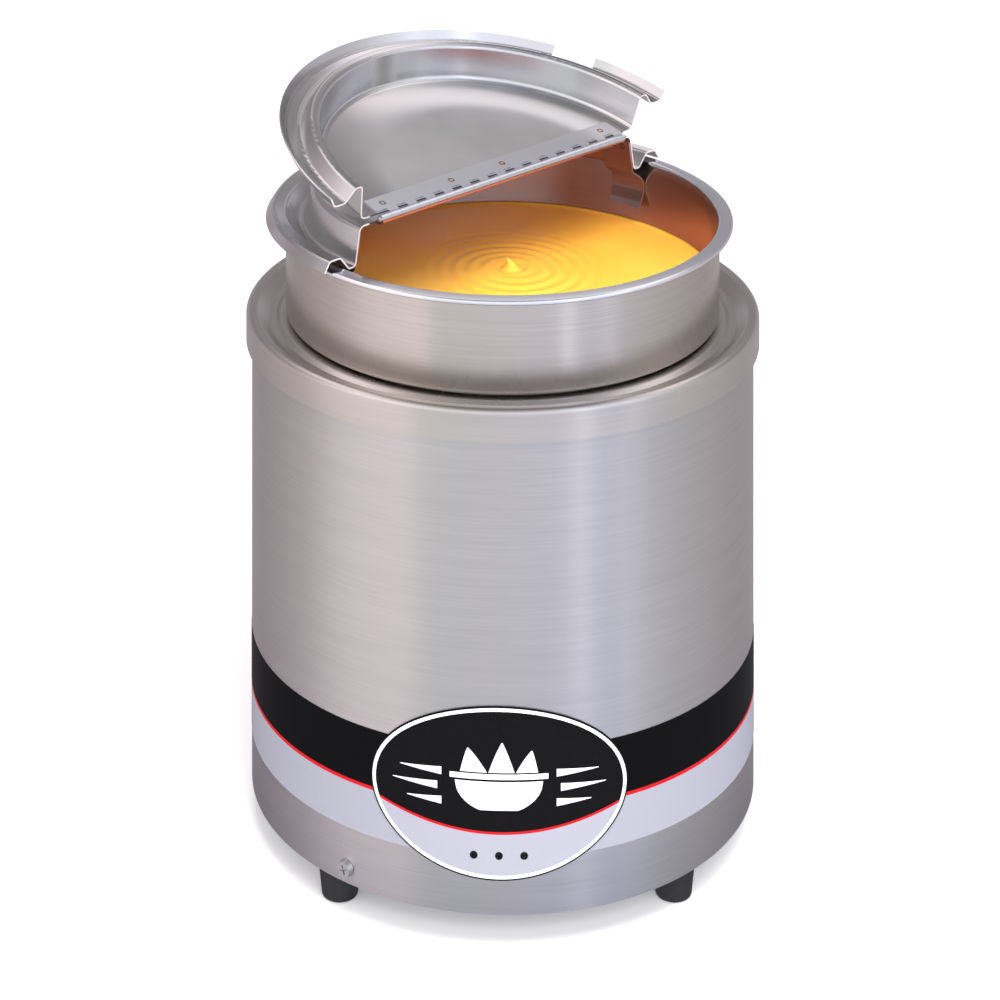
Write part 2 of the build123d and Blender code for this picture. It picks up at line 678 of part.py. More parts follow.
with BuildPart() as thermostat_nut:
    with BuildSketch(control_plane.offset(BEZEL_FACE + DIAL_SHEET)):
        RegularPolygon(8.1, 6)
        Circle(NECK_R + GAP, mode=Mode.SUBTRACT)
    extrude(amount=2.8)
finish(thermostat_nut, "thermostat_nut")

KNOB_SKIRT = 7.0  # height of the wide skirt
KNOB_CAP_R = KNOB_R - 3.4
KNOB_TAPER = 3.0
FLUTE_COUNT = 20

with BuildPart() as control_knob:
    with BuildSketch(control_plane.offset(KNOB_START)):
        Circle(KNOB_R)
    extrude(amount=KNOB_SKIRT, taper=KNOB_TAPER)
    with BuildSketch(control_plane.offset(KNOB_START + KNOB_SKIRT)):
        Circle(KNOB_CAP_R)
    extrude(amount=KNOB_END - KNOB_START - KNOB_SKIRT, taper=KNOB_TAPER)
    with BuildSketch(control_plane.offset(KNOB_START + 4)):
        with PolarLocations(KNOB_R - 1.6, FLUTE_COUNT):
            Circle(1.2)
    extrude(amount=KNOB_END - KNOB_START, mode=Mode.SUBTRACT)
    fillet(control_knob.faces().sort_by(Axis.Y)[-1].edges().sort_by(SortBy.LENGTH)[-1], 0.8)
    with BuildSketch(control_plane.offset(KNOB_START)):
        Circle(9.2)
    extrude(amount=5, mode=Mode.SUBTRACT)
    with BuildSketch(control_plane.offset(KNOB_START)):
        Circle(SHAFT_R + 0.02)
    extrude(amount=SHAFT_END - KNOB_START + 0.5, mode=Mode.SUBTRACT)
    with BuildSketch(control_plane.offset(KNOB_END)):
        with Locations((0, 7)):
            RectangleRounded(1.8, 10, 0.6)
    extrude(amount=-0.8, mode=Mode.SUBTRACT)
finish(control_knob, "control_knob")

BULB_END = 15.0
BULB_LENGTH = 60.0
CAPILLARY_R = 0.9

with BuildPart() as sensing_bulb:
    with BuildSketch(Plane(origin=(BULB_END - BULB_LENGTH, BULB_Y, BULB_Z), z_dir=(1, 0, 0))):
        Circle(BULB_R)
    extrude(amount=BULB_LENGTH)
finish(sensing_bulb, "sensing_bulb")

with BuildPart() as capillary_tube:
    with BuildLine():
        Spline(
            (BULB_END + 0.2, BULB_Y, BULB_Z),
            (CAPILLARY_SPOT[0], BULB_Y, BULB_Z - 3),
            (CAPILLARY_SPOT[0], BULB_Y, 60),
            (18, 45, 52),
            (6, 70, 50),
            (KNOB_X + 4, THERMOSTAT_FRONT - 0.2, CONTROL_Z - 4),
            tangents=((1, 0, 0), (0, 1, 0)),
        )
    with BuildSketch(Plane(origin=(BULB_END + 0.2, BULB_Y, BULB_Z), z_dir=(1, 0, 0))):
        Circle(CAPILLARY_R)
    sweep()
finish(capillary_tube, "capillary_tube")

LAMP_LENGTH = 34.0

with BuildPart() as indicator_housing:
    with BuildSketch(lamp_plane.offset(BEZEL_FACE)):
        Circle(LAMP_BODY_R)
    extrude(amount=-LAMP_LENGTH)
    with BuildSketch(lamp_plane.offset(BEZEL_FACE)):
        Circle(6.6)
        Circle(4.4, mode=Mode.SUBTRACT)
    extrude(amount=1.6)
finish(indicator_housing, "indicator_housing")

with BuildPart() as indicator_lens:
    with BuildSketch(lamp_plane.offset(BEZEL_FACE)):
        Circle(4.3)
    extrude(amount=5)
    fillet(indicator_lens.faces().sort_by(Axis.Y)[-1].edges(), 2.4)
finish(indicator_lens, "indicator_lens")

# ================================================================ electrics on the base pan
PAN_TOP = PAN_FLOOR + SHEET
BLOCK_X = 30.0
BLOCK_Y = 55.0
BLOCK_TOP = PAN_TOP + 12
BLOCK_DEPTH = 20.0
BLOCK_SCREW_R = 1.5
WAY_PITCH = 12.0  # between the block's three ways
BLOCK_SCREW_SPOTS = [(BLOCK_X + dx, BLOCK_Y + dy) for dx in (-WAY_PITCH, 0, WAY_PITCH) for dy in (-5, 5)]
FENCE_SPOTS = [(BLOCK_X + step * WAY_PITCH, BLOCK_Y) for step in (-1.5, -0.5, 0.5, 1.5)]

with BuildPart() as terminal_block:
    with BuildSketch(Plane.XY.offset(PAN_TOP)):
        with Locations((BLOCK_X, BLOCK_Y)):
            Rectangle(3 * WAY_PITCH + 2, BLOCK_DEPTH)
    extrude(amount=BLOCK_TOP - PAN_TOP)
    with BuildSketch(Plane.XY.offset(BLOCK_TOP)):
        with Locations(*FENCE_SPOTS):
            Rectangle(1.6, BLOCK_DEPTH)
    extrude(amount=5)
    with BuildSketch(Plane.XY.offset(BLOCK_TOP)):
        with Locations(*BLOCK_SCREW_SPOTS):
            Circle(BLOCK_SCREW_R + GAP)
    extrude(amount=-6, mode=Mode.SUBTRACT)
finish(terminal_block, "terminal_block")

with BuildPart() as terminal_screws:
    with BuildSketch(Plane.XY.offset(BLOCK_TOP)):
        with Locations(*BLOCK_SCREW_SPOTS):
            Circle(2.8)
    extrude(amount=2)
    with BuildSketch(Plane.XY.offset(BLOCK_TOP)):
        with Locations(*BLOCK_SCREW_SPOTS):
            Circle(BLOCK_SCREW_R)
    extrude(amount=-5.5)
    with BuildSketch(Plane.XY.offset(BLOCK_TOP + 2)):
        with Locations(*BLOCK_SCREW_SPOTS):
            Rectangle(4.4, 0.8, rotation=30)
    extrude(amount=-1, mode=Mode.SUBTRACT)
finish(terminal_screws, "terminal_screws")

LUG_SHEET = 1.0

with BuildPart() as ground_screw:
    with BuildSketch(Plane.XY.offset(PAN_TOP + LUG_SHEET + 2 * GAP)):
        with Locations(STUD_SPOT):
            RegularPolygon(NUT_R, 6)
    extrude(amount=3)
    with BuildSketch(Plane.XY.offset(PAN_TOP + LUG_SHEET + 2 * GAP)):
        with Locations(STUD_SPOT):
            Circle(FOOT_SCREW_R)
    extrude(amount=-4.5)
finish(ground_screw, "ground_screw")

with BuildPart() as ground_lug:
    with BuildSketch(Plane.XY.offset(PAN_TOP + GAP)):
        with Locations(STUD_SPOT):
            Circle(5)
        with Locations((STUD_SPOT[0] + 9, STUD_SPOT[1])):
            Rectangle(12, 4)
        with Locations(STUD_SPOT):
            Circle(FOOT_SCREW_R + GAP, mode=Mode.SUBTRACT)
    extrude(amount=LUG_SHEET)
finish(ground_lug, "ground_lug")

LEAD_R = 1.3
# where two of the leads meet the element's pins
LEG_LEADS = [(*spot, LEG_BOTTOM - PIN_LENGTH - 2) for spot in LEG_SPOTS]
SUPPLY_TO_THERMOSTAT = ((24, 66, 38), (18, 74, 44), (KNOB_X + 12, 82, 51))
THERMOSTAT_TO_ELEMENT = ((KNOB_X - 8, 82, 51), (-40, 70, 40), (-62, 30, 36), LEG_LEADS[0])
ELEMENT_TO_BLOCK = (LEG_LEADS[1], (-50, -10, 30), (0, 10, 30), (30, 38, 36))
BLOCK_TO_GROUND = ((12, 42, 32), (-4, 32, 28), (-14, 20, 24))
BLOCK_TO_LAMP = ((42, 66, 38), (36, 84, 44), (LAMP_X, 102, CONTROL_Z))
LEADS = (SUPPLY_TO_THERMOSTAT, THERMOSTAT_TO_ELEMENT, ELEMENT_TO_BLOCK, BLOCK_TO_GROUND, BLOCK_TO_LAMP)

with BuildPart() as wiring_leads:
    for route in LEADS:
        with BuildLine():
            lead = Spline(*route)
        with BuildSketch(Plane(origin=lead @ 0, z_dir=lead % 0)):
            Circle(LEAD_R)
        sweep(path=lead)
finish(wiring_leads, "wiring_leads")

# ================================================================ cord, tied in a coil behind the drum
COIL_CENTRE = (0.0, 232.0)
COIL_R = 52.0
COIL_PITCH = 8.8
COIL_TURNS = 3
EXIT = around(1, CORD_AZIMUTH)
CORD_INNER_R = 104.0
PLUG_END = (-94.0, 222.0, 14.0)  # where the cord enters the plug
PLUG_TURN = radians(10.0)  # the plug points forwards and a little to the left
PLUG_DIR = (-sin(PLUG_TURN), -cos(PLUG_TURN), 0)


def coil_point(turn):
    """Point on the coil after that many turns from the floor, starting at the coil's left side."""
    angle = pi + 2 * pi * turn
    return (
        COIL_CENTRE[0] + COIL_R * cos(angle),
        COIL_CENTRE[1] + COIL_R * sin(angle),
        CORD_R + 0.6 + COIL_PITCH * turn,
    )


COIL_STEPS = 8 * COIL_TURNS + 3
with BuildPart() as power_cord:
    with BuildLine() as cord_line:
        Spline(
            (EXIT[0] * CORD_INNER_R, EXIT[1] * CORD_INNER_R, CORD_Z),
            (EXIT[0] * 122, EXIT[1] * 122, CORD_Z),
            (EXIT[0] * 150, EXIT[1] * 150, CORD_Z),
            (94, 172, CORD_Z + 2),
            (84, 214, CORD_Z + 3),
            *[coil_point(step / 8) for step in range(COIL_STEPS, -1, -1)],
            (-57, 252, 5.2),
            (-75, 265, 7.5),
            (-91, 251, 11.5),
            PLUG_END,
            tangents=((EXIT[0], EXIT[1], 0), PLUG_DIR),
        )
    with BuildSketch(Plane(origin=cord_line.line @ 0, z_dir=cord_line.line % 0)):
        Circle(CORD_R)
    sweep()
finish(power_cord, "power_cord")

with BuildPart() as cord_strain_relief:
    with BuildSketch(radial_plane(SHELL_R - 7, CORD_AZIMUTH, CORD_Z)):
        Circle(BUSH_R)
    extrude(amount=9)
    with BuildSketch(radial_plane(SHELL_R + 0.35, CORD_AZIMUTH, CORD_Z)):
        Circle(BUSH_FLANGE_R)
    extrude(amount=6, taper=12)
    with BuildSketch(radial_plane(SHELL_R, CORD_AZIMUTH, CORD_Z)):
        Circle(CORD_R + 0.4)
    extrude(amount=CUT, both=True, mode=Mode.SUBTRACT)
finish(cord_strain_relief, "cord_strain_relief")

TIE_AZIMUTH = 20.0  # where the tie crosses the coil, seen from the coil's centre
TIE_OUT = (cos(radians(TIE_AZIMUTH)), sin(radians(TIE_AZIMUTH)), 0)
TIE_ALONG = (-TIE_OUT[1], TIE_OUT[0], 0)
TIE_Z = CORD_R + 0.6 + COIL_PITCH * (COIL_TURNS - 1) / 2 + 4.2  # middle of the three turns there
TIE_SHEET = 0.8
TIE_WIDTH = 6.0
TIE_LOOP_LENGTH = COIL_TURNS * COIL_PITCH + 4.0
TIE_LOOP_WIDTH = 11.4

with BuildPart() as cord_tie:
    tie_spot = (COIL_CENTRE[0] + COIL_R * TIE_OUT[0], COIL_CENTRE[1] + COIL_R * TIE_OUT[1], TIE_Z)
    with BuildSketch(Plane(origin=tie_spot, x_dir=TIE_OUT, z_dir=TIE_ALONG)):
        SlotOverall(TIE_LOOP_LENGTH, TIE_LOOP_WIDTH, rotation=90)
        offset(amount=-TIE_SHEET, mode=Mode.SUBTRACT)
    extrude(amount=TIE_WIDTH / 2, both=True)
finish(cord_tie, "cord_tie")

plug_plane = Plane(origin=PLUG_END, x_dir=(-PLUG_DIR[1], PLUG_DIR[0], 0), z_dir=PLUG_DIR)
PLUG_NECK = 14.0
PLUG_SHOULDER = 22.0
PLUG_FACE = 36.0


def plug_outline():
    """The plug's full section, drawn into the sketch block that calls it."""
    return RectangleRounded(26, 24, 8)


with BuildPart() as plug_body:
    with BuildSketch(plug_plane.offset(0.3)):
        Circle(CORD_R + 1.5)
    with BuildSketch(plug_plane.offset(PLUG_NECK)):
        Circle(CORD_R + 3.5)
    with BuildSketch(plug_plane.offset(PLUG_SHOULDER)):
        plug_outline()
    loft()
    with BuildSketch(plug_plane.offset(PLUG_SHOULDER)):
        plug_outline()
    extrude(amount=PLUG_FACE - PLUG_SHOULDER)
finish(plug_body, "plug_body")

with BuildPart() as plug_blades:
    with BuildSketch(plug_plane.offset(PLUG_FACE)):
        with Locations((-6.35, 3), (6.35, 3)):
            Rectangle(1.5, 6.4)
        with Locations((0, -6.5)):
            Circle(2.4)
    extrude(amount=17)
finish(plug_blades, "plug_blades")
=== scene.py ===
import json
import math

import bmesh
import bpy
from mathutils import Matrix, Vector, noise


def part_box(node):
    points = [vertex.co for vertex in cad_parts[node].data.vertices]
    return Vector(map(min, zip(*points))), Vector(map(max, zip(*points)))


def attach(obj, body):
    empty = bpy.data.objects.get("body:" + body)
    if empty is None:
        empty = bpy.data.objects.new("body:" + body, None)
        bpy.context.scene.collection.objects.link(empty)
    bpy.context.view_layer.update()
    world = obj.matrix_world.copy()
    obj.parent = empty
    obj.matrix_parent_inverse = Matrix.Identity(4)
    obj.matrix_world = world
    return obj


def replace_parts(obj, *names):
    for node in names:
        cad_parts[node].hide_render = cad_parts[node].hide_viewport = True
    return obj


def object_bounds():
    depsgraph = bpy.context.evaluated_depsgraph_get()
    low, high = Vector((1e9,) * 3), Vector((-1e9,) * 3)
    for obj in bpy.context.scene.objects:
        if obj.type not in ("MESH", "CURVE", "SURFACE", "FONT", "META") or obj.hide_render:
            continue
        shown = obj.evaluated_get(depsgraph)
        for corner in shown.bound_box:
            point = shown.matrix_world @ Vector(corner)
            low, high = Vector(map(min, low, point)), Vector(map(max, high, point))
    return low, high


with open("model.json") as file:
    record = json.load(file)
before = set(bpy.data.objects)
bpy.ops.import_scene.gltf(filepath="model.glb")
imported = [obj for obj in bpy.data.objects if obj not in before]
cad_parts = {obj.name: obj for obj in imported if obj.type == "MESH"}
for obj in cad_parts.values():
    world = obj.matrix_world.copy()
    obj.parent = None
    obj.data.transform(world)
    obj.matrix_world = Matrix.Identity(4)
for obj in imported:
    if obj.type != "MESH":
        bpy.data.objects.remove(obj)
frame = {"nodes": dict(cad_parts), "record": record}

CAD_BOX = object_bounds()
MM = 0.001
TAU = 2 * math.pi
NODES = frame["nodes"]
JOINTS = {joint["name"]: joint for joint in frame["record"]["behaviour"]["joints"]}
LID_HINGE = JOINTS["lid_hinge"]
HINGE_ALONG = Vector(LID_HINGE["axis"])
LID_FRONT = Vector((HINGE_ALONG.y, -HINGE_ALONG.x, 0))  # square to the hinge, towards the half that opens
LID_PIN = Vector(LID_HINGE["pos_m"])
LID_OPENED = math.radians(LID_HINGE["range_deg"][1])
UP = Vector((0, 0, 1))
# Where the open half's front edge points, and where its underside faces.
OPEN_FRONT = LID_FRONT * math.cos(LID_OPENED) + UP * math.sin(LID_OPENED)
OPEN_UNDER = LID_FRONT * math.sin(LID_OPENED) - UP * math.cos(LID_OPENED)


# ---------------------------------------------------------------- node helpers
def node(tree, kind, **settings):
    """A new shader node, with its properties and its input defaults set by name."""
    made = tree.nodes.new(kind)
    for key, value in settings.items():
        if key in made.inputs:
            made.inputs[key].default_value = value
        else:
            setattr(made, key, value)
    return made


def link(tree, source, target):
    tree.links.new(source, target)


def math_node(tree, operation, first, second=None, clamp=False):
    """One Math node; first and second are sockets or numbers."""
    made = tree.nodes.new("ShaderNodeMath")
    made.operation = operation
    made.use_clamp = clamp
    for slot, value in enumerate((first, second)):
        if value is None:
            continue
        if isinstance(value, (int, float)):
            made.inputs[slot].default_value = value
        else:
            tree.links.new(value, made.inputs[slot])
    return made.outputs[0]


def scaled(tree, source, factor, offset, clamp=False):
    """source * factor + offset."""
    made = math_node(tree, "MULTIPLY_ADD", source, factor, clamp)
    made.node.inputs[2].default_value = offset
    return made


def length(tree, first, second):
    """The length of the plane vector (first, second)."""
    squares = [math_node(tree, "MULTIPLY", value, value) for value in (first, second)]
    return math_node(tree, "SQRT", math_node(tree, "ADD", *squares))


def dot_with(tree, source, direction):
    """The dot product of a vector socket and a fixed direction."""
    made = node(tree, "ShaderNodeVectorMath", operation="DOT_PRODUCT")
    link(tree, source, made.inputs[0])
    made.inputs[1].default_value = direction
    return made.outputs["Value"]


def ramp(tree, source, stops):
    """A ColorRamp fed by source; stops are (position, colour)."""
    made = tree.nodes.new("ShaderNodeValToRGB")
    elements = made.color_ramp.elements
    while len(elements) < len(stops):
        elements.new(0.5)
    for element, (position, colour) in zip(elements, stops):
        element.position = position
        element.color = (*colour, 1) if len(colour) == 3 else colour
    tree.links.new(source, made.inputs[0])
    return made.outputs[0]


def grey(value):
    return (value, value, value)


def mix_colour(tree, factor, first, second, blend="MIX"):
    """Mix two colours; factor, first and second are sockets or values."""
    made = tree.nodes.new("ShaderNodeMix")
    made.data_type = "RGBA"
    made.blend_type = blend
    factor_socket, first_socket, second_socket = made.inputs[0], made.inputs[6], made.inputs[7]
    for socket, value in ((factor_socket, factor), (first_socket, first), (second_socket, second)):
        if isinstance(value, (int, float)):
            socket.default_value = value
        elif isinstance(value, tuple):
            socket.default_value = (*value, 1) if len(value) == 3 else value
        else:
            tree.links.new(value, socket)
    return made.outputs[2]


def new_material(name):
    """An empty node material with its Principled shader; returns material, tree, shader."""
    material = bpy.data.materials.new(name)
    material.use_nodes = True
    tree = material.node_tree
    return material, tree, tree.nodes["Principled BSDF"]


def bump(tree, height, strength, distance, shader):
    """Feeds height into the shader's normal."""
    made = node(tree, "ShaderNodeBump", Strength=strength, Distance=distance)
    tree.links.new(height, made.inputs["Height"])
    tree.links.new(made.outputs[0], shader.inputs["Normal"])


def noise_texture(tree, vector, scale, detail=4.0, roughness=0.5):
    made = node(tree, "ShaderNodeTexNoise", Scale=scale, Detail=detail, Roughness=roughness)
    tree.links.new(vector, made.inputs["Vector"])
    return made.outputs[0]


# ---------------------------------------------------------------- steel
def turned_coordinates(tree, along, across):
    """Object coordinates unrolled round Z and stretched, so noise runs as long lines round the axis."""
    place = node(tree, "ShaderNodeTexCoord")
    parts = node(tree, "ShaderNodeSeparateXYZ")
    link(tree, place.outputs["Object"], parts.inputs[0])
    turn = math_node(tree, "ARCTAN2", parts.outputs[0], math_node(tree, "MULTIPLY", parts.outputs[1], -1.0))
    radius = length(tree, parts.outputs[0], parts.outputs[1])
    joined = node(tree, "ShaderNodeCombineXYZ")
    link(tree, math_node(tree, "MULTIPLY", turn, along), joined.inputs[0])
    link(tree, math_node(tree, "MULTIPLY", radius, across), joined.inputs[1])
    link(tree, math_node(tree, "MULTIPLY", parts.outputs[2], across), joined.inputs[2])
    return joined.outputs[0]


def turned_steel(name, tint, roughness, anisotropy, streak=0.05):
    """Stainless steel brushed round the Z axis: long fine lines, highlights spread across them."""
    material, tree, shader = new_material(name)
    lines = noise_texture(tree, turned_coordinates(tree, 2.2, 900.0), 1.0, 3.0, 0.6)
    broad = noise_texture(tree, turned_coordinates(tree, 1.2, 130.0), 1.0, 2.0, 0.5)
    place = node(tree, "ShaderNodeTexCoord")
    clouds = noise_texture(tree, place.outputs["Object"], 14.0, 4.0, 0.6)
    fine = ramp(tree, lines, ((0.3, grey(1 - streak)), (0.7, grey(1 + streak))))
    slow = ramp(tree, broad, ((0.3, grey(1 - streak * 0.5)), (0.7, grey(1 + streak * 0.3))))
    tone = mix_colour(tree, 1.0, fine, slow, "MULTIPLY")
    link(tree, mix_colour(tree, 1.0, tone, tint, "MULTIPLY"), shader.inputs["Base Color"])
    link(tree, scaled(tree, clouds, 0.10, roughness - 0.05), shader.inputs["Roughness"])
    shader.inputs["Metallic"].default_value = 1.0
    shader.inputs["Anisotropic"].default_value = anisotropy
    shader.inputs["Anisotropic Rotation"].default_value = 0.25
    tangent = node(tree, "ShaderNodeTangent", direction_type="RADIAL", axis="Z")
    link(tree, tangent.outputs[0], shader.inputs["Tangent"])
    bump(tree, lines, 0.06, 0.0002, shader)
    return material


def satin_steel(name, tint, roughness, grain=0.03, bump_strength=0.03):
    """Stainless sheet with a soft, slightly cloudy polish."""
    material, tree, shader = new_material(name)
    place = node(tree, "ShaderNodeTexCoord")
    clouds = noise_texture(tree, place.outputs["Object"], 22.0, 5.0, 0.62)
    specks = noise_texture(tree, place.outputs["Object"], 900.0, 3.0, 0.6)
    tone = ramp(tree, clouds, ((0.3, grey(1 - grain)), (0.7, grey(1.0))))
    link(tree, mix_colour(tree, 1.0, tone, tint, "MULTIPLY"), shader.inputs["Base Color"])
    link(tree, scaled(tree, clouds, 0.14, roughness - 0.07), shader.inputs["Roughness"])
    shader.inputs["Metallic"].default_value = 1.0
    bump(tree, specks, bump_strength, 0.0002, shader)
    return material


def lid_sheet():
    """The lid's satin steel. The cut edges are pale beyond the hinge, as sheared metal is, and painted
    near-black along it, a painted shade where the leaves shade them. The open half's flat rises a little
    towards its bend."""
    leaf_half = 93 * MM
    flat_radius = 66 * MM
    flat_rise = 5.0  # height per distance squared past flat_radius, in 1/m
    material = satin_steel("lid_steel", (0.70, 0.70, 0.70), 0.2)
    tree = material.node_tree
    shader = tree.nodes["Principled BSDF"]
    place = node(tree, "ShaderNodeTexCoord")
    matches = [dot_with(tree, place.outputs["Normal"], facing) for facing in (LID_FRONT, -OPEN_FRONT)]
    on_edge = ramp(tree, math_node(tree, "MAXIMUM", *matches), ((0.994, grey(0.0)), (0.998, grey(1.0))))
    along = math_node(tree, "ABSOLUTE", dot_with(tree, place.outputs["Object"], HINGE_ALONG))
    past_hinge = math_node(tree, "GREATER_THAN", along, leaf_half)
    # painted shade: within the leaves' half-length the cut edges are near-black in place of the hinge's
    # shade; beyond it they are pale bare metal
    pale_cut_and_painted_shade = mix_colour(tree, past_hinge, (0.05, 0.048, 0.05), (0.66, 0.66, 0.68))
    base = shader.inputs["Base Color"].links[0].from_socket
    link(tree, mix_colour(tree, on_edge, base, pale_cut_and_painted_shade), shader.inputs["Base Color"])
    link(tree, scaled(tree, on_edge, -0.85, 1.0), shader.inputs["Metallic"])

    centre = LID_PIN - OPEN_FRONT * LID_PIN.dot(LID_FRONT)
    from_centre = node(tree, "ShaderNodeVectorMath", operation="SUBTRACT")
    link(tree, place.outputs["Object"], from_centre.inputs[0])
    from_centre.inputs[1].default_value = centre
    forward = dot_with(tree, from_centre.outputs[0], OPEN_FRONT)
    sideways = dot_with(tree, from_centre.outputs[0], HINGE_ALONG)
    reach = length(tree, forward, sideways)
    past = math_node(tree, "MAXIMUM", math_node(tree, "SUBTRACT", reach, flat_radius), 0.0)
    dished = math_node(tree, "MULTIPLY", math_node(tree, "MULTIPLY", past, past), flat_rise)
    underside = math_node(tree, "GREATER_THAN", dot_with(tree, place.outputs["Normal"], OPEN_UNDER), 0.9)
    dishing = node(tree, "ShaderNodeBump", Strength=1.0, Distance=1.0)
    link(tree, math_node(tree, "MULTIPLY", dished, underside), dishing.inputs["Height"])
    link(tree, shader.inputs["Normal"].links[0].from_socket, dishing.inputs["Normal"])
    link(tree, dishing.outputs[0], shader.inputs["Normal"])
    return material


RIM_TOP = 306.4  # the top of the pot's rolled rim, in mm


def pot_sheet():
    """The pot's turned steel, with the roll round its mouth painted bright and bluish, a painted reflection
    of a bright sky above.
    """
    material = turned_steel("pot_steel", (0.63, 0.59, 0.55), 0.25, 0.75, 0.04)
    tree = material.node_tree
    shader = tree.nodes["Principled BSDF"]
    place = node(tree, "ShaderNodeTexCoord")
    height = dot_with(tree, place.outputs["Object"], UP)
    painted_roll_reflection = ramp(tree, height, (((RIM_TOP - 4.0) * MM, grey(0.0)), ((RIM_TOP - 3.4) * MM, grey(1.0))))
    base = shader.inputs["Base Color"].links[0].from_socket
    # painted reflection: the roll's colour is lifted to bluish white in place of the bright sky it mirrors
    link(tree, mix_colour(tree, painted_roll_reflection, base, (0.93, 0.94, 1.0)), shader.inputs["Base Color"])
    return material


# ---------------------------------------------------------------- plastics, rubber and the rest
def moulded(name, colour, roughness, grain_scale=1800.0, strength=0.15):
    """Moulded rubber or plastic with a fine mould grain and dust-like variation."""
    material, tree, shader = new_material(name)
    place = node(tree, "ShaderNodeTexCoord")
    grain = noise_texture(tree, place.outputs["Object"], grain_scale, 3.0, 0.6)
    clouds = noise_texture(tree, place.outputs["Object"], 45.0, 4.0, 0.6)
    lighter = tuple(min(1.0, c * 1.35 + 0.006) for c in colour)
    tone = ramp(tree, clouds, ((0.35, colour), (0.75, lighter)))
    link(tree, tone, shader.inputs["Base Color"])
    link(tree, scaled(tree, clouds, 0.16, roughness - 0.08), shader.inputs["Roughness"])
    bump(tree, grain, strength, 0.0002, shader)
    return material


BLACK_INK = (0.004, 0.004, 0.0045)
RED_INK = (0.52, 0.012, 0.02)
SILVER_INK = (0.325, 0.33, 0.385)
WHITE_INK = (0.86, 0.86, 0.90)


def printed_film():
    """The wrap's print: black above, a thin red line, light grey below."""
    material, tree, shader = new_material("printed_wrap")
    low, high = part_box("graphic_wrap")
    red_share, red_width = 0.468, 1.7 * MM  # the line's top edge as a share of the wrap's height
    red_top = low.z + (high.z - low.z) * red_share
    red_bottom = red_top - red_width
    place = node(tree, "ShaderNodeTexCoord")
    parts = node(tree, "ShaderNodeSeparateXYZ")
    link(tree, place.outputs["Object"], parts.inputs[0])
    above_red = math_node(tree, "GREATER_THAN", parts.outputs[2], red_top)
    above_grey = math_node(tree, "GREATER_THAN", parts.outputs[2], red_bottom)
    specks = noise_texture(tree, place.outputs["Object"], 2600.0, 2.0, 0.7)
    silver = ramp(tree, specks, ((0.3, tuple(c * 0.94 for c in SILVER_INK)), (0.7, SILVER_INK)))
    lower = mix_colour(tree, above_grey, silver, RED_INK)
    link(tree, mix_colour(tree, above_red, lower, BLACK_INK), shader.inputs["Base Color"])
    shader.inputs["Roughness"].default_value = 0.4
    shader.inputs["Specular IOR Level"].default_value = 0.025
    bump(tree, specks, 0.02, 0.0001, shader)
    return material


def ink(name, colour, roughness=0.35):
    """Printed ink with a faint screen grain."""
    material, tree, shader = new_material(name)
    place = node(tree, "ShaderNodeTexCoord")
    specks = noise_texture(tree, place.outputs["Object"], 2600.0, 2.0, 0.7)
    lighter = tuple(min(1.0, c * 1.06 + 0.004) for c in colour)
    link(tree, ramp(tree, specks, ((0.3, colour), (0.7, lighter))), shader.inputs["Base Color"])
    shader.inputs["Roughness"].default_value = roughness
    shader.inputs["Specular IOR Level"].default_value = 0.025
    bump(tree, specks, 0.02, 0.0001, shader)
    return material


def amber_lens():
    material, tree, shader = new_material("lens_amber")
    place = node(tree, "ShaderNodeTexCoord")
    facets = node(tree, "ShaderNodeTexVoronoi", Scale=900.0)
    link(tree, place.outputs["Object"], facets.inputs["Vector"])
    glow = ramp(tree, facets.outputs["Distance"], ((0.0, (1.0, 0.42, 0.04)), (1.0, (0.85, 0.2, 0.01))))
    link(tree, glow, shader.inputs["Base Color"])
    shader.inputs["Roughness"].default_value = 0.12
    shader.inputs["Transmission Weight"].default_value = 0.45
    bump(tree, facets.outputs["Distance"], 0.2, 0.0003, shader)
    return material


def mineral_wool():
    material, tree, shader = new_material("mineral_wool")
    place = node(tree, "ShaderNodeTexCoord")
    fibre = noise_texture(tree, place.outputs["Object"], 420.0, 8.0, 0.75)
    tone = ramp(tree, fibre, ((0.3, (0.52, 0.44, 0.24)), (0.75, (0.86, 0.80, 0.56))))
    link(tree, tone, shader.inputs["Base Color"])
    shader.inputs["Roughness"].default_value = 0.95
    shader.inputs["Sheen Weight"].default_value = 0.4
    bump(tree, fibre, 0.8, 0.002, shader)
    return material


def heat_stained(name, tint, roughness):
    """Metal darkened by heat, with brown and blue bands of oxide."""
    material, tree, shader = new_material(name)
    place = node(tree, "ShaderNodeTexCoord")
    stain = noise_texture(tree, place.outputs["Object"], 30.0, 5.0, 0.6)
    tone = ramp(tree, stain, ((0.3, tint), (0.5, tuple(c * 0.75 for c in tint)),
                              (0.7, (tint[0] * 0.6, tint[1] * 0.62, tint[2] * 0.85))))
    link(tree, tone, shader.inputs["Base Color"])
    shader.inputs["Metallic"].default_value = 1.0
    shader.inputs["Roughness"].default_value = roughness
    bump(tree, stain, 0.05, 0.0002, shader)
    return material


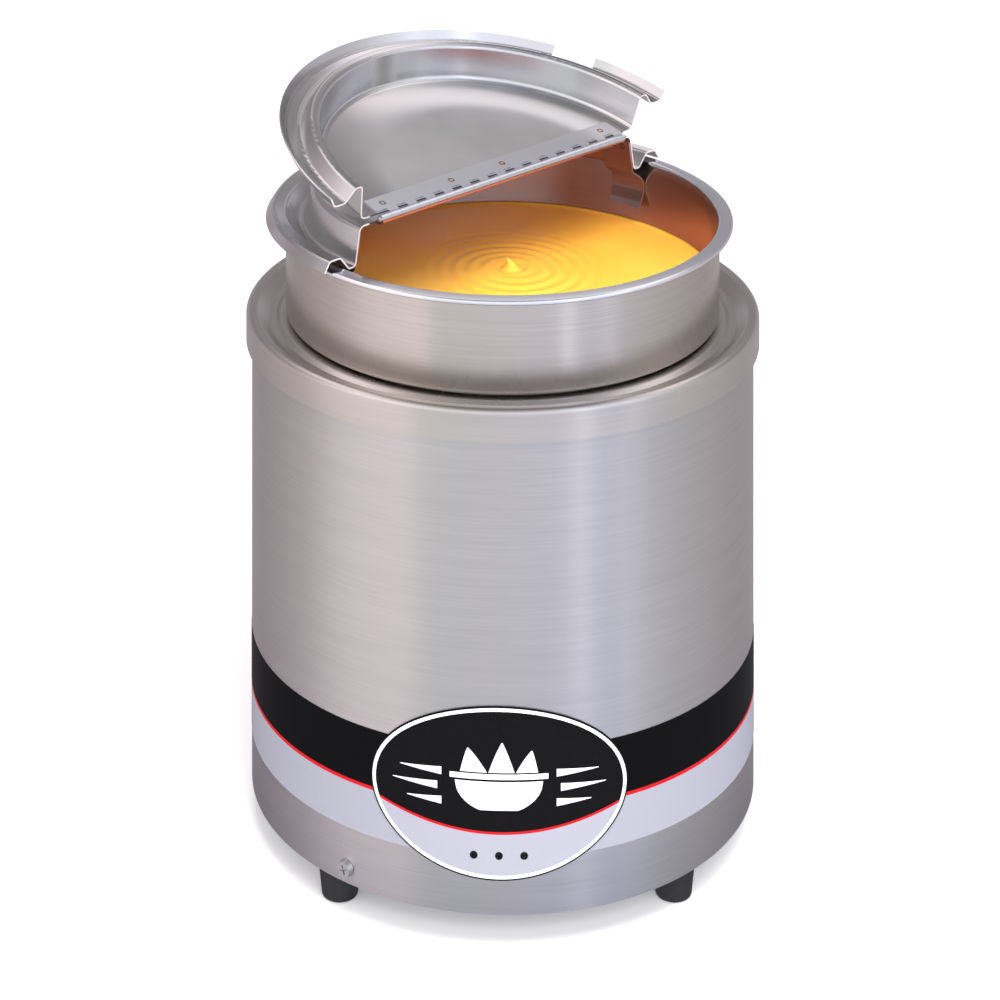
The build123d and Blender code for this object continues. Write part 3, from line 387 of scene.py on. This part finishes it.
def cheese_material():
    """Warm, glossy cheese sauce, yellow at the open front, with a painted shade: deeper orange towards the
    back left under the lid, in place of the lid's shade there. Glossy rays see it browner, a painted
    reflection on the pot wall."""
    material, tree, shader = new_material("cheese")
    place = node(tree, "ShaderNodeTexCoord")
    slow = noise_texture(tree, place.outputs["Object"], 26.0, 3.0, 0.5)
    pits = noise_texture(tree, place.outputs["Object"], 420.0, 4.0, 0.6)
    to_open_front = (0.35, -0.937, 0)
    # painted shade: the sauce runs from yellow at the open front to deeper orange at the back left, standing
    # in for the lid's shade and warm bounce light; the slow noise adds real variation in tone
    painted_shade_gradient = scaled(tree, dot_with(tree, place.outputs["Object"], to_open_front), 4.5, 0.4)
    side = math_node(tree, "ADD", painted_shade_gradient, scaled(tree, slow, 0.35, -0.17))
    tone = ramp(tree, side, (
        (0.05, (0.92, 0.38, 0.055)),
        (0.35, (0.95, 0.49, 0.06)),
        (0.62, (0.93, 0.66, 0.085)),
        (0.85, (0.92, 0.74, 0.14)),
    ))
    # painted reflection: glossy rays see the sauce as a darker, redder orange, so the steel walls mirror it
    # browner
    painted_reflection = (0.60, 0.17, 0.065)
    path = node(tree, "ShaderNodeLightPath")
    seen = mix_colour(tree, path.outputs["Is Glossy Ray"], tone, painted_reflection)
    link(tree, seen, shader.inputs["Base Color"])
    shader.inputs["Roughness"].default_value = 0.34
    shader.inputs["Subsurface Weight"].default_value = 0.35
    shader.inputs["Subsurface Radius"].default_value = (1.0, 0.45, 0.08)
    shader.inputs["Subsurface Scale"].default_value = 0.006
    shader.inputs["Coat Weight"].default_value = 0.25
    shader.inputs["Coat Roughness"].default_value = 0.2
    bump(tree, pits, 0.05, 0.0004, shader)
    return material


STEEL = (0.62, 0.605, 0.60)
MATERIALS = {
    "brushed_drum": turned_steel("brushed_drum", STEEL, 0.34, 0.85),
    "ring_steel": turned_steel("ring_steel", (0.64, 0.61, 0.58), 0.28, 0.6, 0.03),
    "pot_steel": pot_sheet(),
    "plain_steel": satin_steel("plain_steel", (0.58, 0.575, 0.57), 0.34),
    "lid_steel": lid_sheet(),
    "hinge_steel": satin_steel("hinge_steel", (0.72, 0.74, 0.78), 0.22, 0.02, 0.02),
    "plated_screw": satin_steel("plated_screw", (0.70, 0.70, 0.70), 0.24, 0.06, 0.06),
    "ground_green": moulded("ground_green", (0.03, 0.20, 0.05), 0.4),
    "printed_wrap": printed_film(),
    "badge_print": ink("badge_print", BLACK_INK),
    "badge_white": ink("badge_white", WHITE_INK),
    "badge_red": ink("badge_red", RED_INK),
    "badge_silver": ink("badge_silver", SILVER_INK),
    "heat_tint": heat_stained("heat_tint", (0.42, 0.22, 0.10), 0.4),
    "foot_rubber": moulded("foot_rubber", (0.012, 0.012, 0.013), 0.5),
    "cheese": cheese_material(),
    "mineral_wool": mineral_wool(),
    "element_sheath": heat_stained("element_sheath", (0.20, 0.17, 0.15), 0.5),
    "copper": heat_stained("copper", (0.72, 0.36, 0.22), 0.35),
    "control_plastic": moulded("control_plastic", (0.014, 0.014, 0.015), 0.42, 2400.0, 0.12),
    "dial_print": satin_steel("dial_print", (0.72, 0.72, 0.72), 0.3, 0.03, 0.02),
    "lens_amber": amber_lens(),
    "lead_insulation": moulded("lead_insulation", (0.55, 0.53, 0.48), 0.5),
    "cord_rubber": moulded("cord_rubber", (0.014, 0.014, 0.015), 0.46, 1500.0, 0.12),
    "blade_brass": satin_steel("blade_brass", (0.72, 0.62, 0.38), 0.25, 0.04, 0.04),
}


def dress(target, slot_name):
    """Gives an object its slot's material."""
    target.data.materials.clear()
    target.data.materials.append(MATERIALS[slot_name])


for part in frame["record"]["subparts"]:
    dress(NODES[part["node"]], part["material_slot"])


# ---------------------------------------------------------------- mesh helpers
def mesh_object(name, vertices, faces, slot_name, body, smooth=True, look=None):
    """A new piece from vertices and faces, in the row frame, riding on a body."""
    data = bpy.data.meshes.new(name)
    data.from_pydata(vertices, [], faces)
    data.validate()
    cleaner = bmesh.new()
    cleaner.from_mesh(data)
    bmesh.ops.remove_doubles(cleaner, verts=cleaner.verts, dist=1e-6)
    bmesh.ops.dissolve_degenerate(cleaner, edges=cleaner.edges, dist=1e-7)
    bmesh.ops.recalc_face_normals(cleaner, faces=cleaner.faces)
    cleaner.to_mesh(data)
    cleaner.free()
    made = bpy.data.objects.new(name, data)
    bpy.context.scene.collection.objects.link(made)
    if smooth:
        data.shade_smooth()
    dress(made, look or slot_name)
    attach(made, body)
    return made


# ---------------------------------------------------------------- turned sheets
SHEET = 0.8  # stainless sheet, in mm


def rounded(corners, radii, steps=7):
    """The corner points of an open outline, with every inner corner rounded."""
    points = [Vector(corners[0])]
    for before, corner, after, radius in zip(corners, corners[1:], corners[2:], radii):
        corner = Vector(corner)
        back = (Vector(before) - corner).normalized()
        on = (Vector(after) - corner).normalized()
        half = back.angle(on) / 2
        middle = corner + (back + on).normalized() * (radius / math.sin(half))
        start = corner + back * (radius / math.tan(half)) - middle
        swing = start.angle_signed(corner + on * (radius / math.tan(half)) - middle)
        for step in range(steps + 1):
            points.append(middle + Matrix.Rotation(-swing * step / steps, 2) @ start)
    return points + [Vector(corners[-1])]


def turned_sheet(name, corners, radii, body, slot_name, replaced):
    """Sheet metal revolved round the object's axis. Corners are (radius, height) along its middle, in mm."""
    line = rounded(corners, radii)
    sides = ([], [])
    for index, point in enumerate(line):
        along = (line[min(index + 1, len(line) - 1)] - line[max(index - 1, 0)]).normalized()
        across = Vector((along.y, -along.x)) * SHEET / 2
        sides[0].append(point + across)
        sides[1].append(point - across)
    outline = sides[0] + sides[1][::-1]
    spokes = 256
    vertices, faces = [], []
    for point in outline:
        for spoke in range(spokes):
            a = TAU * spoke / spokes
            radius = max(point.x, 0)
            vertices.append((radius * math.cos(a) * MM, radius * math.sin(a) * MM, point.y * MM))
    for row in range(len(outline)):
        a, b = row * spokes, (row + 1) % len(outline) * spokes
        for spoke in range(spokes):
            nxt = (spoke + 1) % spokes
            faces.append((a + spoke, a + nxt, b + nxt, b + spoke))
    made = mesh_object(name, vertices, faces, slot_name, body)
    made.data.set_sharp_from_angle(angle=math.radians(40))
    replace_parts(made, replaced)


RING_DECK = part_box("top_ring")[1].z / MM - SHEET / 2


def top_ring():
    """The top ring: a skirt, a raised shoulder, a shallow groove, and a deck turned down into the opening."""
    skirt_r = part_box("top_ring")[1].x / MM - SHEET / 2
    opening_r = 108 + SHEET / 2
    skirt_bottom, crest, groove, lip = RING_DECK - 12.2, RING_DECK + 3.4, RING_DECK - 2, RING_DECK - 7.6
    crest_r, groove_outer_r, groove_inner_r, deck_outer_r = 127.6, 121.1, 117.2, 114.8
    turned_sheet("ring_shell", (
        (skirt_r, skirt_bottom), (skirt_r, crest), (crest_r, crest),
        (groove_outer_r, groove), (groove_inner_r, groove), (deck_outer_r, RING_DECK),
        (opening_r, RING_DECK), (opening_r, lip),
    ), (2.6, 2, 1.2, 1.2, 2, 2.5), "warmer", "ring_steel", "top_ring")


def pot():
    """The pot: a floor, a wall, a wider collar that sits on the deck, and a flat roll round its mouth."""
    floor_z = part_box("inset_pot")[0].z / MM + SHEET / 2
    roll_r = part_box("inset_pot")[1].x / MM - SHEET / 2
    roll_inner_r, wall_r, collar_r = roll_r - 4.6, 105.6, 112.15
    shoulder, collar_top, roll_top, roll_bottom = RING_DECK + 1.5, RIM_TOP - 0.4, RIM_TOP - 1.1, RIM_TOP - 2.8
    turned_sheet("pot_shell", (
        (0, floor_z), (wall_r - 1, floor_z), (wall_r, shoulder), (collar_r, shoulder),
        (collar_r, collar_top), (roll_r, roll_top), (roll_r, roll_bottom), (roll_inner_r, roll_bottom),
    ), (14, 2, 2.6, 1.5, 0.85, 0.8), "inset", "pot_steel", "inset_pot")


top_ring()
pot()


# ---------------------------------------------------------------- cheese
def cheese_surface():
    """The sauce: a stirred top with a curled peak, a small meniscus at the wall, and the body under it."""
    low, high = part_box("cheese_sauce")
    centre = (5 * MM, 13 * MM)
    outer = (high.x - low.x) / 2
    rings, spokes = 170, 288
    depth = 171.2
    body = (  # radius, and drop below the top in mm, down the pot's collar, shoulder, wall and floor
        (outer, 11), (outer - 1.7 * MM, 14), (outer - 6.6 * MM, 14), (outer - 6.6 * MM, 18),
        (outer - 7.9 * MM, 155), (90 * MM, depth),
    )
    vertices, faces = [], []

    def height(x, y):
        """The surface beside the peak: a spiral left by stirring, slow waves, a dome and a meniscus."""
        dx, dy = x - centre[0], y - centre[1]
        reach = math.hypot(dx, dy)
        turn = math.atan2(dy, dx)
        from_axis = math.hypot(x, y)
        r = reach / MM
        spiral = math.sin(r * 0.8 - turn + 0.8 * math.sin(turn * 2 + 0.6))
        waves = 0.34 * spiral * math.exp(-((r - 27) / 20) ** 2)
        slow = 0.8 * noise.noise(Vector((x * 24, y * 24, 0.3)))
        dome = 2.0 * math.exp(-(r / 26) ** 2) - 1.4 * math.exp(-((r - 6) / 2.2) ** 2)
        rim = 1.3 * math.exp(-(outer - from_axis) / (1.6 * MM))
        return (waves + slow + dome + rim - 1.3) * MM

    def peak(x, y):
        """The curl that the ladle leaves: its height, and how far its tip leans over."""
        r = math.hypot(x - centre[0], y - centre[1]) / MM
        share = math.exp(-(r / 2.6) ** 1.7)
        return 4.6 * MM * share, 2.6 * MM * share ** 2

    for ring in range(rings + 1):
        share = (ring / rings) ** 1.6
        for spoke in range(spokes):
            a = TAU * spoke / spokes
            wall = outer - 0.1 * MM
            edge = (wall * math.cos(a), wall * math.sin(a))
            x = centre[0] + (edge[0] - centre[0]) * share
            y = centre[1] + (edge[1] - centre[1]) * share
            rise, lean = peak(x, y)
            vertices.append((x - lean, y - lean * 0.3, high.z + height(x, y) + rise))
    for radius, drop in body:
        for spoke in range(spokes):
            a = TAU * spoke / spokes
            vertices.append((radius * math.cos(a), radius * math.sin(a), high.z - drop * MM))
    vertices.append((0, 0, high.z - depth * MM))
    for ring in range(rings + len(body)):
        for spoke in range(spokes):
            nxt = (spoke + 1) % spokes
            a, b = ring * spokes, (ring + 1) * spokes
            faces.append((a + spoke, b + spoke, b + nxt, a + nxt))
    last = (rings + len(body)) * spokes
    for spoke in range(spokes):
        faces.append((last + spoke, len(vertices) - 1, last + (spoke + 1) % spokes))
    made = mesh_object("cheese_surface", vertices, faces, "cheese", "inset")
    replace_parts(made, "cheese_sauce")


cheese_surface()


# ---------------------------------------------------------------- badge print
BADGE_LOW, BADGE_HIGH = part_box("badge")
BADGE_HALF_WIDTH = (BADGE_HIGH.x - BADGE_LOW.x) / 2 / MM + 0.6
BADGE_HALF_HEIGHT = (BADGE_HIGH.z - BADGE_LOW.z) / 2 / MM
BADGE_R = -BADGE_LOW.y / MM
BADGE_MIDDLE = (BADGE_HIGH.z + BADGE_LOW.z) / 2
BADGE_TURN = Matrix.Rotation(math.radians(-2.25), 3, "Z")  # a little left of the middle of the front
# Widths and thicknesses, in mm. OUTLINE is the black edge outside the white border.
BADGE_FILM = 0.4
OUTLINE = 0.8
BORDER = 1.6
INK_THICKNESS = 0.12


def on_badge(across, up, radius):
    """A point on the badge: across and up from its middle, in mm, at that radius."""
    front = -math.sqrt(radius ** 2 - across ** 2)
    return BADGE_TURN @ Vector((across * MM, front * MM, BADGE_MIDDLE + up * MM))


def film(name, strips, look, under=BADGE_R, thickness=INK_THICKNESS):
    """Thin shapes wrapped round the drum. A strip is a list of (one edge, other edge) point pairs."""
    vertices, faces = [], []
    for strip in strips:
        first = len(vertices)
        for low, high in strip:
            for radius in (under, under + thickness):
                vertices += [on_badge(*low, radius), on_badge(*high, radius)]
        for column in range(len(strip) - 1):
            a = first + 4 * column
            b = a + 4
            faces += [(a, a + 1, b + 1, b), (a + 2, b + 2, b + 3, a + 3),
                      (a, b, b + 2, a + 2), (a + 1, a + 3, b + 3, b + 1)]
        if strip[0] != strip[-1]:
            last = first + 4 * (len(strip) - 1)
            faces += [(first, first + 2, first + 3, first + 1), (last, last + 1, last + 3, last + 2)]
    return mesh_object(name, vertices, faces, "badge_print", "warmer", smooth=False, look=look)


def between(start, end, steps, lower, upper):
    """A strip from start to end across the badge, between two curves."""
    places = [start + (end - start) * step / steps for step in range(steps + 1)]
    return [((u, lower(u)), (u, upper(u))) for u in places]


def disc_strip(across, up, radius):
    """A small round spot as one strip."""
    def half(u):
        return math.sqrt(max(0.0, radius ** 2 - (u - across) ** 2)) + 0.01
    return between(across - radius, across + radius, 24, lambda u: up - half(u), lambda u: up + half(u))


def triangle_strip(left, peak, right):
    """A tortilla chip: a triangle with slightly bowed sides."""
    def upper(u):
        near, far = (left, peak) if u <= peak[0] else (right, peak)
        share = (u - near[0]) / (far[0] - near[0])
        return near[1] + (far[1] - near[1]) * share + 0.8 * math.sin(math.pi * share) + 0.05

    def lower(u):
        return left[1] + (right[1] - left[1]) * (u - left[0]) / (right[0] - left[0])
    return between(left[0], right[0], 24, lower, upper)


def badge_print():
    """A white border, a silver field under a red line, and a bowl of chips in place of any lettering."""
    outer = (BADGE_HALF_WIDTH - OUTLINE, BADGE_HALF_HEIGHT - OUTLINE)
    inner = (outer[0] - BORDER, outer[1] - BORDER)
    around = 240
    ring = []
    for step in range(around + 1):
        a = TAU * (step % around) / around
        ring.append(tuple((oval[0] * math.cos(a), oval[1] * math.sin(a)) for oval in (inner, outer)))
    film("badge_border", [ring], "badge_white")

    def plate_top(u):
        return BADGE_HALF_HEIGHT * math.sqrt(max(0.0, 1 - (u / BADGE_HALF_WIDTH) ** 2))
    plate = between(-BADGE_HALF_WIDTH, BADGE_HALF_WIDTH, 320, lambda u: -plate_top(u), plate_top)
    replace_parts(film("badge_plate", [plate], "badge_print", BADGE_R - BADGE_FILM, BADGE_FILM), "badge")

    def field_top(u):
        return -19.5 + 10.0 * (u / inner[0]) ** 2

    def oval_bottom(u):
        return -inner[1] * math.sqrt(max(0.0, 1 - (u / inner[0]) ** 2))
    reach = inner[0]
    while field_top(reach) <= oval_bottom(reach) + 0.2:
        reach -= 0.05
    film("badge_field", [between(-reach, reach, 160, oval_bottom, field_top)], "badge_silver")
    film("badge_line", [between(-reach, reach, 160, field_top, lambda u: field_top(u) + 1.2)], "badge_red")
    film("badge_dots", [disc_strip(u, -29.5, 1.9) for u in (-12, 0, 12)], "badge_print")

    bowl_half, bowl_top, chips_from = 21.0, 5.5, 9.9

    def bowl_bottom(u):
        return max(bowl_top - 15.0 * math.sqrt(max(0.0, 1 - (u / bowl_half) ** 2)), bowl_top - 13.5)
    shapes = [
        between(-bowl_half, bowl_half, 60, bowl_bottom, lambda u: bowl_top),
        between(-bowl_half - 2.5, bowl_half + 2.5, 60, lambda u: bowl_top + 1.1, lambda u: bowl_top + 3.6),
    ]
    chips = ((-18.5, (-15.0, 21.5), -5.8), (-5.0, (1.5, 24.5), 7.4), (8.2, (15.8, 20.5), 18.6))
    for left, peak, right in chips:
        shapes.append(triangle_strip((left, chips_from), peak, (right, chips_from)))
    for side in (-1, 1):
        for row, (start, end) in enumerate(((27.5, 47.5), (29.5, 51.0), (27.5, 44.0))):
            middle = 9.0 - 7.0 * row
            taper = 1.7 / (end - start)
            shapes.append(between(side * start, side * end, 24,
                                  lambda u: middle - 1.8 + taper * (abs(u) - start),
                                  lambda u: middle + 1.8 - taper * (abs(u) - start)))
    film("badge_bowl", shapes, "badge_white")


badge_print()


# ---------------------------------------------------------------- spot welds
def weld_marks(name, spots, body):
    """Heat-tinted rings left by spot welding; a spot is its centre and its outward normal."""
    inner, outer, height, around = 0.9 * MM, 1.9 * MM, 0.06 * MM, 28
    profile = ((inner, -height), (inner * 1.15, height), (outer * 0.9, height), (outer, -height))
    vertices, faces = [], []
    for centre, normal in spots:
        across = normal.orthogonal().normalized()
        along = normal.cross(across)
        first = len(vertices)
        for step in range(around):
            turn = TAU * step / around
            out = across * math.cos(turn) + along * math.sin(turn)
            for reach, lift in profile:
                vertices.append(centre + out * reach + normal * lift)
        for step in range(around):
            a, b = first + 4 * step, first + 4 * ((step + 1) % around)
            faces += [(a + k, b + k, b + (k + 1) % 4, a + (k + 1) % 4) for k in range(4)]
    return mesh_object(name, vertices, faces, "hinge_steel", body, look="heat_tint")


def weld_pieces():
    """Four marks along the open half's hinge leaf, and two on the rear half's skirt over each clip."""
    row = LID_PIN + OPEN_FRONT * 8.0 * MM + OPEN_UNDER * 2.8 * MM
    on_leaf = [(row + HINGE_ALONG * along * MM, OPEN_UNDER) for along in (-80, -32, 5, 80)]
    weld_marks("leaf_weld_marks", on_leaf, "lid_front")
    skirt_r, skirt_z = 99.0, 316
    over_clips = []
    for azimuth in (47.0, 50.6, 216.4, 220.0):
        a = math.radians(azimuth)
        radial = Vector((math.cos(a), math.sin(a), 0))
        inward = (-radial * 0.985 - UP * 0.173).normalized()
        over_clips.append((radial * skirt_r * MM + UP * skirt_z * MM, inward))
    weld_marks("clip_weld_marks", over_clips, "lid_rear")


weld_pieces()


# ---------------------------------------------------------------- dial
def facing_back(across, up, outward):
    """A point on the control face: across to the viewer's right from behind, in metres."""
    low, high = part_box("dial_plate")
    return Vector(((low.x + high.x) / 2 - across, high.y + outward, (low.z + high.z) / 2 + up))


def dial_numbers():
    """Numbers 1 to 9 round the dial."""
    circle_r, size, thickness = 20.3 * MM, 3.6 * MM, 0.03 * MM
    first_turn, sweep = -150, 300
    sheet = bmesh.new()
    turn_to_back = Matrix(((-1, 0, 0), (0, 0, 1), (0, 1, 0))).to_4x4()
    for number in range(1, 10):
        turn = math.radians(first_turn + sweep * (number - 1) / 8)
        words = bpy.data.curves.new("digit", "FONT")
        words.body = str(number)
        words.size = size
        words.align_x = "CENTER"
        words.align_y = "CENTER"
        words.extrude = thickness
        digit = bpy.data.objects.new("digit", words)
        bpy.context.scene.collection.objects.link(digit)
        bpy.context.view_layer.update()
        shaped = digit.evaluated_get(bpy.context.evaluated_depsgraph_get())
        solid = bpy.data.meshes.new_from_object(shaped)
        place = facing_back(circle_r * math.sin(turn), circle_r * math.cos(turn), thickness)
        solid.transform(Matrix.Translation(place) @ turn_to_back)
        sheet.from_mesh(solid)
        bpy.data.objects.remove(digit)
        bpy.data.curves.remove(words)
        bpy.data.meshes.remove(solid)
    data = bpy.data.meshes.new("dial_numbers")
    sheet.to_mesh(data)
    sheet.free()
    vertices = [tuple(vertex.co) for vertex in data.vertices]
    faces = [tuple(polygon.vertices) for polygon in data.polygons]
    mesh_object("dial_numbers", vertices, faces, "dial_print", "warmer", smooth=False, look="badge_print")


def knob_pointer():
    """White paint in the slot across the knob's face."""
    low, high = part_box("control_knob")
    middle, shaft_z = (low.x + high.x) / 2, (low.z + high.z) / 2
    half, bottom, top = 0.8 * MM, shaft_z + 2.2 * MM, shaft_z + 11.8 * MM
    depths = (0.82 * MM, 0.25 * MM)
    vertices = [(middle + side * half, high.y - depth, z)
                for side in (-1, 1) for depth in depths for z in (bottom, top)]
    faces = [(0, 1, 3, 2), (4, 6, 7, 5), (0, 2, 6, 4), (1, 5, 7, 3), (2, 3, 7, 6), (0, 4, 5, 1)]
    mesh_object("knob_pointer", vertices, faces, "control_plastic", "knob", smooth=False, look="badge_white")


dial_numbers()
knob_pointer()


# ---------------------------------------------------------------- stage
def studio_sides(tree, direction):
    """What stands round the object, by the way a ray leaves it: a warm card at the left, a cool window
    with two bright bars at the right, and a darker room behind."""
    parts = node(tree, "ShaderNodeSeparateXYZ")
    link(tree, direction, parts.inputs[0])
    turn = math_node(tree, "ARCTAN2", parts.outputs[0], math_node(tree, "MULTIPLY", parts.outputs[1], -1.0))
    share = scaled(tree, turn, 1 / TAU, 0.5)

    def at(degrees):
        return degrees / 360 + 0.5

    room = ramp(tree, share, (
        (at(-180), (0.44, 0.43, 0.44)),
        (at(-140), (0.42, 0.37, 0.39)),
        (at(-100), (0.65, 0.58, 0.60)),
        (at(-75), (0.98, 0.90, 0.92)),
        (at(-42), (1.08, 0.98, 1.0)),
        (at(-38), (0.80, 0.82, 0.82)),
        (at(5), (0.84, 0.83, 0.92)),
        (at(45), (0.80, 0.82, 0.98)),
        (at(84), (0.65, 0.64, 0.66)),
        (at(130), (0.48, 0.43, 0.45)),
        (at(180), (0.44, 0.43, 0.44)),
    ))
    bars = ramp(tree, share, (
        (at(29), grey(0.0)), (at(31), grey(0.34)), (at(36), grey(0.34)), (at(39), grey(0.0)),
        (at(51), grey(0.0)), (at(54), grey(0.15)), (at(60), grey(0.15)), (at(63), grey(0.0)),
    ))
    return mix_colour(tree, 1.0, room, bars, "ADD"), parts


def studio_world():
    """The studio as an environment; the camera itself sees a white backdrop."""
    world = bpy.data.worlds.new("studio")
    bpy.context.scene.world = world
    world.use_nodes = True
    tree = world.node_tree
    tree.nodes.clear()
    place = node(tree, "ShaderNodeTexCoord")
    sides, parts = studio_sides(tree, place.outputs["Generated"])
    rise = parts.outputs[2]
    ahead = ramp(tree, rise, (
        (0.0, grey(1.0)), (0.12, grey(1.25)), (0.3, grey(1.5)),
        (0.6, grey(1.3)), (0.85, grey(0.7)), (0.97, grey(0.35)),
    ))
    behind = ramp(tree, rise, (
        (0.0, grey(0.85)), (0.1, (1.25, 1.28, 1.4)), (0.22, grey(0.7)), (0.45, grey(0.68)),
        (0.58, grey(0.95)), (0.63, grey(1.05)), (0.7, grey(2.7)), (0.84, grey(2.5)),
        (0.92, grey(0.7)), (0.97, grey(0.35)),
    ))
    facing = scaled(tree, parts.outputs[1], -1.6, 0.5, clamp=True)
    light = mix_colour(tree, 1.0, sides, mix_colour(tree, facing, behind, ahead), "MULTIPLY")
    path = node(tree, "ShaderNodeLightPath")
    seen = mix_colour(tree, path.outputs["Is Camera Ray"], light, (0.98, 0.98, 0.98))
    background = node(tree, "ShaderNodeBackground", Strength=1.0)
    link(tree, seen, background.inputs[0])
    output = node(tree, "ShaderNodeOutputWorld")
    link(tree, background.outputs[0], output.inputs[0])


def floor():
    """A wide pale sheet under the feet. For glossy rays it glows as a painted reflection of the studio's
    cards, with a painted shadow near the drum.
    """
    clearance = 0.2 * MM
    bpy.ops.mesh.primitive_plane_add(size=12, location=(0, 0, CAD_BOX[0].z - clearance))
    sheet = bpy.context.object
    sheet.name = "studio_floor"
    material, tree, shader = new_material("studio_floor")
    place = node(tree, "ShaderNodeTexCoord")
    tooth = noise_texture(tree, place.outputs["Object"], 60.0, 4.0, 0.6)
    link(tree, ramp(tree, tooth, ((0.3, grey(0.94)), (0.7, grey(0.96)))), shader.inputs["Base Color"])
    shader.inputs["Roughness"].default_value = 0.9
    shader.inputs["Specular IOR Level"].default_value = 0.1
    shader.inputs["Emission Color"].default_value = (0.98, 0.99, 1.0, 1)
    shader.inputs["Emission Strength"].default_value = 0.22
    geometry = node(tree, "ShaderNodeNewGeometry")
    onward = node(tree, "ShaderNodeVectorMath", operation="SCALE", Scale=-1.0)
    link(tree, geometry.outputs["Incoming"], onward.inputs[0])
    sides, _ = studio_sides(tree, onward.outputs[0])
    reach = node(tree, "ShaderNodeVectorMath", operation="LENGTH")
    link(tree, place.outputs["Object"], reach.inputs[0])
    # painted shadow: the reflected cards darken and turn bluish close to the drum
    painted_drum_shadow = ramp(tree, reach.outputs["Value"], (
        (0.14, (0.55, 0.57, 0.64)), (0.22, (0.78, 0.79, 0.85)), (0.34, grey(1.0)),
    ))
    # painted reflection: for glossy rays the floor glows with the studio's cards instead of being lit
    painted_reflection = node(tree, "ShaderNodeEmission")
    link(tree, mix_colour(tree, 1.0, sides, painted_drum_shadow, "MULTIPLY"), painted_reflection.inputs[0])
    path = node(tree, "ShaderNodeLightPath")
    either = node(tree, "ShaderNodeMixShader")
    link(tree, path.outputs["Is Glossy Ray"], either.inputs[0])
    link(tree, shader.outputs[0], either.inputs[1])
    link(tree, painted_reflection.outputs[0], either.inputs[2])
    link(tree, either.outputs[0], tree.nodes["Material Output"].inputs[0])
    sheet.data.materials.append(material)


def area_light(name, place, target, size, power, colour):
    """A soft rectangular lamp aimed at a point. Steel does not mirror it."""
    lamp = bpy.data.lights.new(name, "AREA")
    lamp.shape = "RECTANGLE"
    lamp.size, lamp.size_y = size
    lamp.energy = power
    lamp.color = colour
    made = bpy.data.objects.new(name, lamp)
    bpy.context.scene.collection.objects.link(made)
    made.location = place
    aim = Vector(target) - Vector(place)
    made.rotation_mode = "QUATERNION"
    made.rotation_quaternion = aim.to_track_quat("-Z", "Y")
    made.visible_glossy = False


studio_world()
floor()
area_light("overhead", (0.16, -0.6, 1.5), (0, 0, 0.25), (0.9, 0.9), 24.0, (1.0, 0.99, 0.97))
area_light("fill", (0.15, -1.1, 0.78), (0.0, 0.03, 0.27), (0.5, 0.3), 6.0, (1.0, 0.98, 0.94))


def view_camera():
    """A view camera with an upright back: it looks down at the drum, and the drum's sides stay parallel.
    The lens axis leans down while the picture plane stays vertical, so the rig's matrix is sheared."""
    place = Vector((-0.0409, -1.5, 0.842))
    axis = Vector((0.0265, 1.0, -0.4574))
    lens_for_level_axis = 103.75
    data = bpy.data.cameras.new("view_camera")
    data.lens = lens_for_level_axis * axis.length
    data.clip_start, data.clip_end = 0.1, 50.0
    camera = bpy.data.objects.new("view_camera", data)
    rig = bpy.data.objects.new("camera_rig", None)
    for item in (camera, rig):
        bpy.context.scene.collection.objects.link(item)
    back = -axis.normalized()
    camera.parent = rig
    camera.matrix_parent_inverse = Matrix((
        (1, 0, back.x, place.x),
        (0, 0, back.y, place.y),
        (0, 1, back.z, place.z),
        (0, 0, 0, 1),
    ))
    bpy.context.scene.camera = camera


view_camera()
bpy.context.scene.view_settings.view_transform = "Standard"
